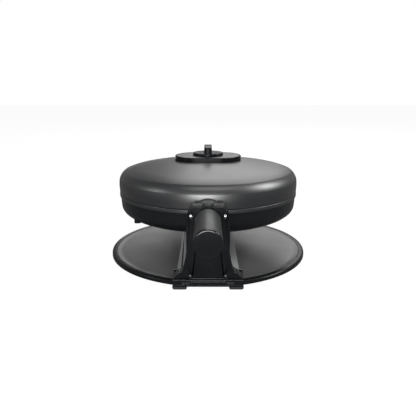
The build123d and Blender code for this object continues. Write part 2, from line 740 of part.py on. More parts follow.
def thermostat():
    start = UPPER_REFLECTOR_TOP + SEAT
    body = rod(THERMOSTAT_R, (0, POD_Y, start), THERMOSTAT_TOP - start, "Z")
    return body - rod(SPINDLE_R + RUN, (0, POD_Y, SPINDLE_Z - SEAT), THERMOSTAT_TOP, "Z")


def thermal_fuse():
    x, y = FUSE_PLACE
    return rod(FUSE_R, (x, y, UPPER_REFLECTOR_TOP + SEAT + FUSE_R), FUSE_L, "X")


# Front upright
SCREW_START_Y = UPRIGHT_FRONT_Y - SCREW_PROUD
FRONT_CORNERS = (
    (HEAD_HALF - HEAD_CHAMFER[0], UPRIGHT_TOP),
    (HEAD_HALF, UPRIGHT_TOP - HEAD_CHAMFER[1]),
    (HEAD_HALF, HEAD_LOW_Z),
)
BACK_CORNERS = (BACK_TOP, BACK_SHOULDER, BACK_HIP)


def upright_screw_places():
    return [(side * x, z) for side in (-1, 1) for x, z in UPRIGHT_SCREWS_AT]


def upright_outline(corners, waist):
    """Half of a shell's outline, closed along X = 0, as a face in the X-Z plane."""
    foot = (0, UPRIGHT_FOOT_Z)
    top = (0, corners[0][1])
    points = [Vector(x, 0, z) for x, z in (foot, top, *corners)]
    edges = [Line(a, b) for a, b in zip(points, points[1:])]
    bends = (waist, KNEE, KNEE_BEND, FLARE_TOP, (FLARE_HALF, UPRIGHT_FOOT_Z))
    waist, knee, bend, flare, tip = [Vector(x, 0, z) for x, z in bends]
    edges.append(ThreePointArc(points[-1], waist, knee))
    edges.append(ThreePointArc(knee, bend, flare))
    return make_face(edges + [Line(flare, tip), Line(tip, points[0])])


def upright_shell(outline, long, hollow_y):
    """One shell of the upright, with its notch, its screw holes and the room inside it."""
    half = extrude(outline, long[1] - long[0], dir=(0, 1, 0))
    shell = Pos(0, long[0], 0) * both_sides(half)
    room_half = HEAD_HALF - UPRIGHT_WALL
    shell -= block((-room_half, room_half), hollow_y, HOLLOW_Z)
    notch_half = SLOT_HALF + LINER_WALL + SEAT
    through = (UPRIGHT_FRONT_Y - 1, UPRIGHT_BACK_Y + 1)
    shell -= block((-notch_half, notch_half), through, (AXLE_Z, BACK_TOP[1] + 1))
    shell -= rod_y(notch_half, through)
    for x, z in upright_screw_places():
        shell -= rod_y(SCREW_SHANK_R + SEAT, (SCREW_START_Y - 1, SCREW_START_Y + SCREW_L + SEAT), x, z)
        shell -= rod_y(SCREW_HEAD_R + SEAT, (SCREW_START_Y - 1, SCREW_START_Y + SCREW_HEAD_T + SEAT), x, z)
    return shell


def panel_form(grow, front_y, back_y):
    """Tapered centre panel of the front shell."""
    corners = []
    for half, z in zip(PANEL_HALF, PANEL_Z):
        corners.append((half + grow, z + (grow if z > PANEL_Z[0] else -grow)))
    (low_half, low), (high_half, high) = corners
    sides = [(-low_half, low), (low_half, low), (high_half, high), (-high_half, high)]
    face = make_face(Polyline(*[Vector(x, 0, z) for x, z in sides], close=True))
    return Pos(0, front_y, 0) * extrude(face, back_y - front_y, dir=(0, 1, 0))


def front_upright():
    hollow_y = (UPRIGHT_FRONT_Y + UPRIGHT_WALL, UPRIGHT_SPLIT_Y + 1)
    outline = upright_outline(FRONT_CORNERS, FRONT_WAIST)
    shell = upright_shell(outline, (UPRIGHT_FRONT_Y, UPRIGHT_SPLIT_Y), hollow_y)
    return shell - panel_form(SEAT, UPRIGHT_FRONT_Y - 1, UPRIGHT_SPLIT_Y)


def upright_panel():
    return panel_form(0, UPRIGHT_FRONT_Y + PANEL_DEPTH, UPRIGHT_FRONT_Y + PANEL_DEPTH + UPRIGHT_WALL)


def upright_back():
    front_y = UPRIGHT_SPLIT_Y + SEAT
    hollow_y = (front_y - 1, UPRIGHT_BACK_Y - UPRIGHT_WALL)
    outline = upright_outline(BACK_CORNERS, BACK_WAIST)
    return without_screws(upright_shell(outline, (front_y, UPRIGHT_BACK_Y), hollow_y))


def cradle_liner():
    """U-shaped wear liner in the notch."""
    long = (UPRIGHT_FRONT_Y + LINER_LIP, UPRIGHT_BACK_Y - LINER_LIP)
    top = UPRIGHT_TOP - LINER_LIP
    outer = SLOT_HALF + LINER_WALL
    liner = block((-outer, outer), long, (AXLE_Z, top)) + rod_y(outer, long)
    through = (long[0] - 1, long[1] + 1)
    liner -= block((-SLOT_HALF, SLOT_HALF), through, (AXLE_Z, top + 1))
    return liner - rod_y(SLOT_HALF, through)


def upright_screws():
    screws = Part()
    for x, z in upright_screw_places():
        screws += rod_y(SCREW_HEAD_R, (SCREW_START_Y, SCREW_START_Y + SCREW_HEAD_T), x, z)
        screws += rod_y(SCREW_SHANK_R, (SCREW_START_Y, SCREW_START_Y + SCREW_L), x, z)
    return screws


# Base
TRAY_TOP_Z = TRAY_FLOOR_Z + TRAY_T


def screw_places():
    """Place and tip height of each base screw."""
    upright_y = (UPRIGHT_SPLIT_Y + UPRIGHT_BACK_Y) / 2
    places = []
    for side in (-1, 1):
        places.append((side * BASE_SCREW_X, upright_y, UPRIGHT_SCREW_TIP))
        places.append((0, side * MID_SCREW_Y, SPINE_SCREW_TIP))
        places.append((side * BASE_SCREW_X, PIVOT_Y, POST_SCREW_TIP))
    return places


def without_screws(piece):
    """The piece with a hole for each base screw."""
    return piece - [rod(BASE_SCREW_R + SEAT, (x, y, 0), tip + SEAT, "Z") for x, y, tip in screw_places()]


def drip_tray():
    """Shallow round tray with a raised lip, cut away for the toe and heel of the spine."""
    inner = TRAY_R - TRAY_LIP
    tray = turned([
        (0, TRAY_FLOOR_Z),
        (inner - TRAY_SLOPE - TRAY_T, TRAY_FLOOR_Z),
        (inner - TRAY_T, TRAY_RIM_Z - TRAY_T),
        (TRAY_R - TRAY_T, TRAY_RIM_Z - TRAY_T),
        (TRAY_R - TRAY_T, TRAY_SKIRT_Z),
        (TRAY_R, TRAY_SKIRT_Z),
        (TRAY_R, TRAY_RIM_Z),
        (inner, TRAY_RIM_Z),
        (inner - TRAY_SLOPE, TRAY_TOP_Z),
        (0, TRAY_TOP_Z),
    ])
    tray = Pos(0, TRAY_Y, 0) * tray
    toe = TOE_HALF + SEAT
    heel = SPINE_FOOT_HALF + SEAT
    tray -= block((-toe, toe), (TOE_FRONT_Y - 1, TOE_BACK_Y + SEAT), (0, SPINE_CREST_Z))
    tray -= block((-heel, heel), (HEEL_START_Y - SEAT, SPINE_END_Y), (0, SPINE_CREST_Z))
    return without_screws(tray)


def bevelled_bar(foot_half, crest_half, low, knee, top, long):
    """Bar along Y with upright sides to the knee and sloped sides above it."""
    points = [(-foot_half, low), (foot_half, low), (foot_half, knee), (crest_half, top)]
    points += [(-crest_half, top), (-foot_half, knee)]
    if knee <= low:
        points = [points[i] for i in (0, 1, 3, 4)]
    face = make_face(Polyline(*[Vector(x, 0, z) for x, z in points], close=True))
    return Pos(0, long[0], 0) * extrude(face, long[1] - long[0], dir=(0, 1, 0))


def base_spine():
    """Ridge along the tray, with a wide toe under the upright and a heel under the post."""
    rail_z = TRAY_TOP_Z + SEAT
    spine = bevelled_bar(SPINE_FOOT_HALF, SPINE_CREST_HALF, rail_z, rail_z, SPINE_CREST_Z,
                         (TOE_BACK_Y - 1, SPINE_END_Y))
    toe_z = (TRAY_FLOOR_Z, UPRIGHT_FOOT_Z - SEAT)
    spine += block((-TOE_HALF, TOE_HALF), (TOE_FRONT_Y, TOE_BACK_Y), toe_z)
    for half, top in TOE_RELIEFS:
        spine += block((-half, half), (TOE_FRONT_Y - TOE_RELIEF_T, TOE_BACK_Y), (TRAY_FLOOR_Z, top))
    spine += bevelled_bar(SPINE_FOOT_HALF, SPINE_CREST_HALF, TRAY_FLOOR_Z, rail_z, SPINE_CREST_Z,
                          (HEEL_START_Y, SPINE_END_Y))
    return without_screws(spine)


def base_underplate():
    """Plate under tray and spine, with a thinner wing on each side over the side feet."""
    top = TRAY_FLOOR_Z - SEAT
    toe = TOE_HALF - UNDERPLATE_INSET
    rail = SPINE_FOOT_HALF - UNDERPLATE_INSET
    plate = block((-toe, toe), (TOE_FRONT_Y + UNDERPLATE_INSET, TOE_BACK_Y), (UNDERPLATE_Z, top))
    plate += block((-WING_HALF, WING_HALF), (UPRIGHT_BACK_Y - WING_LEAD, TOE_BACK_Y), (WING_Z, top))
    plate += block((-rail, rail), (TOE_BACK_Y, SPINE_END_Y - UNDERPLATE_INSET), (UNDERPLATE_Z, top))
    return without_screws(plate)


def base_screws():
    screws = Part()
    for x, y, tip in screw_places():
        head_z = UNDERPLATE_Z - SEAT - BASE_SCREW_HEAD_T
        screws += rod(BASE_SCREW_HEAD_R, (x, y, head_z), BASE_SCREW_HEAD_T, "Z")
        screws += rod(BASE_SCREW_R, (x, y, head_z), tip - head_z, "Z")
    return screws


def pads(x, y, top):
    """A rubber pad on each side, rounded below."""
    pad = block(x, y, (0, top - SEAT))
    below = pad.faces().sort_by(Axis.Z)[0].edges().filter_by(Axis.Y)
    return both_sides(fillet(below, FOOT_ROUND))


def tray_feet():
    return both_sides(rod(TRAY_FOOT_R, (TRAY_FOOT_X, TRAY_Y, 0), TRAY_FLOOR_Z - SEAT, "Z"))


# Rear post
CHEEK_X = YOKE_HALF_W + CHEEK_GAP
PIVOT_BUSH_R = PIVOT_PIN_R + RUN + PIVOT_BUSH_WALL
COVER_Y = (POST_BACK_Y - POST_COVER_T, POST_BACK_Y)


def rear_post():
    """Hollow column with two cheeks that carry the lift pivot."""
    post = block((-POST_HALF, POST_HALF), (POST_FRONT_Y, POST_BACK_Y), (SPINE_CREST_Z + SEAT, CHEEK_FLOOR_Z))
    cheek_y = (POST_FRONT_Y, PIVOT_Y + CHEEK_R)
    post += block((-POST_HALF, POST_HALF), cheek_y, (CHEEK_FLOOR_Z - 1, AXLE_Z))
    post += rod(CHEEK_R, (-POST_HALF, PIVOT_Y, AXLE_Z), 2 * POST_HALF, "X")
    room = YOKE_END_Y + CHEEK_R
    post -= block((-CHEEK_X, CHEEK_X), (PIVOT_Y - 2 * CHEEK_R, room), (CHEEK_FLOOR_Z, AXLE_Z + 2 * CHEEK_R))
    post -= rod(PIVOT_BUSH_R + SEAT, (-POST_HALF - 1, PIVOT_Y, AXLE_Z), 2 * POST_HALF + 2, "X")
    post -= block((-POST_HOLLOW_HALF, POST_HOLLOW_HALF), (POST_HOLLOW_Y, POST_BACK_Y + 1), POST_HOLLOW_Z)
    return without_screws(post)


def rear_post_cover():
    half = POST_HOLLOW_HALF - SEAT
    low, high = POST_HOLLOW_Z
    cover = block((-half, half), COVER_Y, (low + SEAT, high - SEAT))
    return cover - rod_y(GLAND_R + SEAT, (COVER_Y[0] - 1, COVER_Y[1] + 1), z=GLAND_Z)


def cord_gland():
    """Bushed cable entry in the post cover."""
    inner_y = COVER_Y[0] - GLAND_FLANGE_T
    flange_y = POST_BACK_Y + SEAT
    gland = rod_y(GLAND_R, (inner_y, GLAND_END_Y), z=GLAND_Z)
    gland += rod_y(GLAND_FLANGE_R, (flange_y, flange_y + GLAND_FLANGE_T), z=GLAND_Z)
    return gland - rod_y(GLAND_BORE_R, (inner_y - 1, GLAND_END_Y + 1), z=GLAND_Z)


def pivot_bushes():
    length = POST_HALF - CHEEK_X
    bush = rod(PIVOT_BUSH_R, (CHEEK_X, PIVOT_Y, AXLE_Z), length, "X")
    return both_sides(bush - rod(PIVOT_PIN_R + RUN, (CHEEK_X - 1, PIVOT_Y, AXLE_Z), length + 2, "X"))


def main():
    os.makedirs("parts", exist_ok=True)
    plate = waffle_plate()
    ring = heater()
    dish = reflector()
    shell_floor = CASING_Z + WALL + SEAT
    lower_posts = pillars(shell_floor)
    upper_posts = mirror(pillars(CASING_Z - WALL), about=MIRROR_PLANE) & lid_form(WALL + SEAT)
    pieces = {
        "base_spine": base_spine(),
        "drip_tray": drip_tray(),
        "base_underplate": base_underplate(),
        "base_screws": base_screws(),
        "front_feet": pads(FRONT_FOOT_X, FRONT_FOOT_Y, UNDERPLATE_Z),
        "side_feet": pads(SIDE_FOOT_X, SIDE_FOOT_Y, WING_Z),
        "rear_feet": pads(REAR_FOOT_X, REAR_FOOT_Y, UNDERPLATE_Z),
        "tray_feet": tray_feet(),
        "front_upright": front_upright(),
        "upright_back": upright_back(),
        "upright_panel": upright_panel(),
        "upright_screws": upright_screws(),
        "cradle_liner": cradle_liner(),
        "rear_post": rear_post(),
        "rear_post_cover": rear_post_cover(),
        "pivot_bushes": pivot_bushes(),
        "cord_gland": cord_gland(),
        "yoke": yoke(),
        "yoke_cap": yoke_cap(),
        "yoke_cap_screws": yoke_cap_screws(),
        "rotor_bush": rotor_bush(),
        "lift_pins": lift_pins(),
        "turn_stop": turn_stop(),
        "lower_casing": lower_casing(),
        "front_boss": front_boss(),
        "rear_boss": rear_boss(),
        "boss_saddles": boss_saddles(),
        "front_shaft": front_shaft(),
        "handle_grip": handle_grip(),
        "rotor_shaft": rotor_shaft(),
        "shaft_washer": shaft_washer(),
        "shaft_nut": shaft_nut(),
        "lower_plate": plate,
        "lower_heater": ring,
        "lower_reflector": dish,
        "lower_pillars": lower_posts,
        "lower_lamp": lower_lamp(),
        "hinge_base": hinge_base(),
        "hinge_carriage": hinge_carriage(),
        "hinge_pins": hinge_pins(),
        "lid_shell": lid_shell(),
        "lid_hinge_arms": lid_hinge_arms(),
        "latch_catch": latch_catch(),
        "upper_plate": mirror(plate, about=MIRROR_PLANE),
        "upper_heater": mirror(ring, about=MIRROR_PLANE),
        "upper_reflector": mirror(dish, about=MIRROR_PLANE),
        "upper_pillars": upper_posts,
        "thermostat": thermostat(),
        "thermal_fuse": thermal_fuse(),
        "control_pod": control_pod(),
        "pod_fascia": pod_fascia(),
        "indicator_lenses": indicator_lenses(),
        "knob_skirt": knob_skirt(),
        "knob_grip": knob_grip(),
        "knob_spindle": knob_spindle(),
        "release_button": release_button(),
        "release_rod": release_rod(),
        "latch_bar": latch_bar(),
    }
    for name, piece in pieces.items():
        save(name, piece)


main()
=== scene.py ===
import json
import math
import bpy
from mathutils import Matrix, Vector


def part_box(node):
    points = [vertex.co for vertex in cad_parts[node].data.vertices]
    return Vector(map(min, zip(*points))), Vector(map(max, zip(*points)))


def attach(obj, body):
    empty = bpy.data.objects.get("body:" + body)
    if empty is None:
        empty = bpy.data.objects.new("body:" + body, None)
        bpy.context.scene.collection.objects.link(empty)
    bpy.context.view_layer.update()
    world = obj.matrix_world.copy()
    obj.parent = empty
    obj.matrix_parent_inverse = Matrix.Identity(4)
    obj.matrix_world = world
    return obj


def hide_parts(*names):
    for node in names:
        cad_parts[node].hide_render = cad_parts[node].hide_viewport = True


bl_info = {
    "name": "Rotating waffle maker",
    "version": (1, 0, 0),
    "blender": (4, 5, 0),
    "location": "View3D > Sidebar > Waffle maker",
    "description": "Dresses the packed waffle maker in its moulded, coated and plated finishes",
    "category": "Object",
}

import bmesh
import bpy
from bpy.props import FloatProperty, FloatVectorProperty, IntProperty, PointerProperty
from mathutils import Matrix, Vector

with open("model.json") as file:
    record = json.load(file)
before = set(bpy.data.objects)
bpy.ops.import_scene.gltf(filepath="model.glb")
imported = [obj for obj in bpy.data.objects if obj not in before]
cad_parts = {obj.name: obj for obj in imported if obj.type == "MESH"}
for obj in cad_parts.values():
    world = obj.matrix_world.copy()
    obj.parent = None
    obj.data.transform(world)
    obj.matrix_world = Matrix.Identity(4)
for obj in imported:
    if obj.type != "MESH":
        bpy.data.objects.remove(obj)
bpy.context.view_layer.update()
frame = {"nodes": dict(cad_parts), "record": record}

MM = 0.001
LID_LOW, LID_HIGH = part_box("lid_shell")
BODY_AXIS_Y = (LID_LOW.y + LID_HIGH.y) / 2
AXLE_Z = sum(corner.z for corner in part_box("handle_grip")) / 2
TRAY_LOW, TRAY_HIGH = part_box("drip_tray")
TRAY_AXIS_Y = TRAY_HIGH.y - (TRAY_HIGH.x - TRAY_LOW.x) / 2


def linear(code):
    """Linear colour of an sRGB hex code."""
    shares = [int(code[i:i + 2], 16) / 255 for i in (1, 3, 5)]
    return tuple(s / 12.92 if s <= 0.04045 else ((s + 0.055) / 1.055) ** 2.4 for s in shares)


def add_node(tree, kind, settings=None, inputs=None):
    """Add a node, set it up, and set or link its inputs."""
    new = tree.nodes.new(kind)
    for key, value in (settings or {}).items():
        setattr(new, key, value)
    for key, value in (inputs or {}).items():
        if isinstance(value, bpy.types.NodeSocket):
            tree.links.new(value, new.inputs[key])
        else:
            new.inputs[key].default_value = value
    return new


def per_mm(size):
    """Texture scale, in cycles per metre, of a pattern with this size in millimetres."""
    return 1 / (size * MM)


class Finishes(bpy.types.PropertyGroup):
    """Colours of the finishes"""

    lid: FloatVectorProperty(
        name="Lid", description="Charcoal of the moulded lid",
        subtype="COLOR", default=linear("#0c0d0f"))
    casing: FloatVectorProperty(
        name="Lower casing", description="Black of the lower casing",
        subtype="COLOR", default=linear("#0b0c0e"))
    stand: FloatVectorProperty(
        name="Stand", description="Black of the stand, the controls and the tray's rim",
        subtype="COLOR", default=linear("#0b0c0e"))
    handle: FloatVectorProperty(
        name="Handle", description="Dark grey of handle and bosses",
        subtype="COLOR", default=linear("#252626"))
    tray: FloatVectorProperty(
        name="Tray", description="Grey of the coated tray",
        subtype="COLOR", default=linear("#3e3f3e"))
    plates: FloatVectorProperty(
        name="Plates", description="Dark coating of the waffle plates",
        subtype="COLOR", default=linear("#232324"))
    lens: FloatVectorProperty(
        name="Lamp lenses", description="Smoke of the lamp lenses",
        subtype="COLOR", default=linear("#1d1917"))


class Edges(bpy.types.PropertyGroup):
    """Radii of the moulded edges"""

    shell: FloatProperty(
        name="Shell rim", description="Rounding of the lid rim and the casing flange",
        unit="LENGTH", default=0.7 * MM, min=0.1 * MM, max=1.0 * MM)
    crease: FloatProperty(
        name="Lid crease", description="Length over which the dome turns into the shoulder",
        unit="LENGTH", default=9.0 * MM, min=1 * MM, max=12 * MM)
    stand: FloatProperty(
        name="Stand", description="Rounding of upright, spine and post",
        unit="LENGTH", default=0.8 * MM, min=0.1 * MM, max=1.2 * MM)
    fine: FloatProperty(
        name="Small pieces", description="Rounding of small mouldings and brackets",
        unit="LENGTH", default=0.35 * MM, min=0.05 * MM, max=0.6 * MM)


class Counts(bpy.types.PropertyGroup):
    """Fineness of the turned pieces"""

    turn_steps: IntProperty(
        name="Steps a turn", description="Faces round the lid, casing, tray and plates",
        default=192, min=48, max=256)


def eased(line, corner, reach, steps):
    """Replace the stretch within reach of one corner of a line by a smooth bend."""
    def walk(direction):
        """Point at the reach from the corner, and the next point of the line beyond it."""
        left = reach
        i = corner
        while True:
            here = line[i]
            there = line[i + direction]
            run = (there - here).length
            if run >= left:
                return here.lerp(there, left / run), i + direction
            left -= run
            i += direction

    start, before = walk(-1)
    end, after = walk(1)
    bend = []
    for n in range(steps + 1):
        t = n / steps
        bend.append(start.lerp(line[corner], t).lerp(line[corner].lerp(end, t), t))
    return line[:before + 1] + bend + line[after:]


def bowed(a, b, bow, steps):
    """Points of the arc from a to b that stands out by bow at its middle, without its end."""
    a = Vector(a)
    b = Vector(b)
    across = Vector((-(b - a).y, (b - a).x)).normalized()
    half = (b - a).length / 2
    if not bow:
        return [a.lerp(b, n / steps) for n in range(steps)]
    radius = (half * half + bow * bow) / (2 * abs(bow))
    centre = (a + b) / 2 + across * (bow - math.copysign(radius, bow))
    start = (a - centre).angle_signed(Vector((1, 0)))
    sweep = 2 * math.asin(half / radius) * math.copysign(1, -bow)
    points = []
    for n in range(steps):
        angle = start + sweep * n / steps
        points.append(centre + radius * Vector((math.cos(angle), math.sin(angle))))
    return points


def rounded(corners, steps=4):
    """Closed outline through (r, z, rounding) corners, each corner bent over its rounding."""
    points = [Vector(corner[:2]) for corner in corners]
    outline = []
    for i, corner in enumerate(corners):
        here = points[i]
        if not corner[2]:
            outline.append(here)
            continue
        start = here + (points[i - 1] - here).normalized() * corner[2]
        end = here + (points[(i + 1) % len(points)] - here).normalized() * corner[2]
        for n in range(steps + 1):
            t = n / steps
            outline.append(start.lerp(here, t).lerp(here.lerp(end, t), t))
    return outline


def turn(outline, steps, axis_y=0, closed=True):
    """Solid turned about an upright axis through (r, z) points in metres; points on it become poles."""
    bm = bmesh.new()
    rings = []
    for point in outline:
        if point[0] < 1e-6:
            rings.append([bm.verts.new((0, 0, point[1]))])
            continue
        ring = []
        for n in range(steps):
            angle = 2 * math.pi * n / steps
            ring.append(bm.verts.new((point[0] * math.cos(angle), point[0] * math.sin(angle), point[1])))
        rings.append(ring)
    pairs = list(zip(rings, rings[1:]))
    if closed:
        pairs.append((rings[-1], rings[0]))
    for low, high in pairs:
        if len(low) == 1 and len(high) == 1:
            continue
        for n in range(steps):
            m = (n + 1) % steps
            loop = [low[n % len(low)], low[m % len(low)], high[m % len(high)], high[n % len(high)]]
            bm.faces.new(list(dict.fromkeys(loop)))
    bmesh.ops.translate(bm, verts=bm.verts, vec=(0, axis_y, 0))
    return bm


def onto_axle(bm):
    """Lay a solid turned about Z along the handle's axis, its +Z end towards the back."""
    laid = Matrix.Translation((0, 0, AXLE_Z)) @ Matrix.Rotation(-math.pi / 2, 4, "X")
    bmesh.ops.transform(bm, matrix=laid, verts=bm.verts)


def as_mesh(bm, name):
    """Plain mesh of a BMesh, which is freed."""
    mesh = bpy.data.meshes.new(name)
    bm.to_mesh(mesh)
    bm.free()
    return mesh


def show(bm, name, body, material, stands_for, sharp=40):
    """Finish a BMesh, its faces turned outwards, as a piece that rides on a body."""
    bmesh.ops.recalc_face_normals(bm, faces=bm.faces)
    dress(as_mesh(bm, name), name, body, material, stands_for, sharp)


def dress(mesh, name, body, material, stands_for, sharp):
    """Give a finished mesh its object and material, set it on its body and hide the CAD nodes it stands for.

    Edges past the sharp angle stay sharp. At 0 the corner normals are evened instead.
    """
    mesh.name = name
    mesh.materials.clear()
    mesh.materials.append(material)
    mesh.shade_smooth()
    if sharp:
        mesh.set_sharp_from_angle(angle=math.radians(sharp))
    else:
        even_normals(mesh)
    piece = loose(mesh, name)
    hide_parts(*stands_for)
    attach(piece, body)


def baked(piece):
    """Plain mesh of an object with its modifiers, and the object gone."""
    graph = bpy.context.evaluated_depsgraph_get()
    mesh = bpy.data.meshes.new_from_object(piece.evaluated_get(graph))
    bpy.data.objects.remove(piece)
    return mesh


def loose(data, name):
    """Object of a mesh, lamp or camera, in the scene but not in the frame."""
    piece = bpy.data.objects.new(name, data)
    bpy.context.scene.collection.objects.link(piece)
    return piece


def without_block(mesh, low, high):
    """Mesh with the box between two corners cut away."""
    bm = bmesh.new()
    bmesh.ops.create_cube(bm, size=1)
    size = Vector(high) - Vector(low)
    middle = (Vector(high) + Vector(low)) / 2
    bmesh.ops.transform(bm, matrix=Matrix.Translation(middle) @ Matrix.Diagonal((*size, 1)), verts=bm.verts)
    cutter = loose(as_mesh(bm, "block"), "cutter")
    piece = loose(mesh, "cut")
    cut = piece.modifiers.new("cut", "BOOLEAN")
    cut.operation = "DIFFERENCE"
    cut.solver = "EXACT"
    cut.object = cutter
    mesh = baked(piece)
    bpy.data.objects.remove(cutter)
    return mesh


def copied(node):
    """Merged copy of a CAD node's mesh."""
    bm = bmesh.new()
    bm.from_mesh(frame["nodes"][node].data)
    bmesh.ops.remove_doubles(bm, verts=bm.verts, dist=2e-6)
    return bm


def sliced(bm, point, outward):
    """Cut a closed mesh at a plane, drop what lies outward of it and close the cut."""
    everything = list(bm.verts) + list(bm.edges) + list(bm.faces)
    bmesh.ops.bisect_plane(bm, geom=everything, dist=1e-6, plane_co=point, plane_no=outward,
                           clear_outer=True)
    rim = [edge for edge in bm.edges if edge.is_boundary]
    bmesh.ops.triangle_fill(bm, use_beauty=True, edges=rim)
    bmesh.ops.recalc_face_normals(bm, faces=bm.faces)


def bevelled(bm, radius):
    """Plain mesh with the sharp edges rounded."""
    piece = loose(as_mesh(bm, "bevel"), "bevel")
    bevel = piece.modifiers.new("round", "BEVEL")
    bevel.width = radius
    bevel.segments = 3
    bevel.limit_method = "ANGLE"
    bevel.angle_limit = math.radians(32)
    bevel.use_clamp_overlap = False
    bevel.miter_outer = "MITER_ARC"
    return baked(piece)


def even_normals(mesh):
    """Corner normals weighted by whole flat regions, so that a rounding doesn't tilt the flat beside it."""
    same = math.cos(math.radians(0.6))
    near = math.cos(math.radians(38))
    bm = bmesh.new()
    bm.from_mesh(mesh)
    bm.faces.ensure_lookup_table()
    region = [-1] * len(bm.faces)
    areas = []
    for seed in bm.faces:
        if region[seed.index] >= 0:
            continue
        region[seed.index] = len(areas)
        area = 0.0
        queue = [seed]
        while queue:
            face = queue.pop()
            area += face.calc_area()
            for edge in face.edges:
                for other in edge.link_faces:
                    if region[other.index] < 0 and seed.normal.dot(other.normal) > same:
                        region[other.index] = len(areas)
                        queue.append(other)
        areas.append(area)
    normals = []
    for face in bm.faces:
        for corner in face.loops:
            total = Vector()
            used = set()
            for other in corner.vert.link_faces:
                if region[other.index] not in used and face.normal.dot(other.normal) > near:
                    used.add(region[other.index])
                    total += other.normal * areas[region[other.index]]
            normals.append(total.normalized() if total.length else face.normal.copy())
    bm.free()
    mesh.normals_split_custom_set(normals)


def fitted(piece, tree, values):
    """Add a Geometry Nodes modifier to an object and set its named inputs."""
    nodes = piece.modifiers.new("nodes", "NODES")
    nodes.node_group = tree
    for socket in tree.interface.items_tree:
        if socket.in_out == "INPUT" and socket.name in values:
            nodes[socket.identifier] = values[socket.name]


def new_tree(name, inputs):
    """Geometry Nodes tree with a geometry input and output and the named inputs."""
    tree = bpy.data.node_groups.new(name, "GeometryNodeTree")
    tree.interface.new_socket("Geometry", in_out="OUTPUT", socket_type="NodeSocketGeometry")
    tree.interface.new_socket("Geometry", in_out="INPUT", socket_type="NodeSocketGeometry")
    for label, kind in inputs:
        tree.interface.new_socket(label, in_out="INPUT", socket_type="NodeSocket" + kind)
    return tree, add_node(tree, "NodeGroupInput").outputs


def closed_tree(tree, geometry, finish):
    """End a tree in Realize Instances and Set Material."""
    real = add_node(tree, "GeometryNodeRealizeInstances", inputs={"Geometry": geometry})
    dressed = add_node(tree, "GeometryNodeSetMaterial", inputs={
        "Geometry": real.outputs["Geometry"], "Material": finish})
    add_node(tree, "NodeGroupOutput", inputs={"Geometry": dressed.outputs["Geometry"]})
    return tree


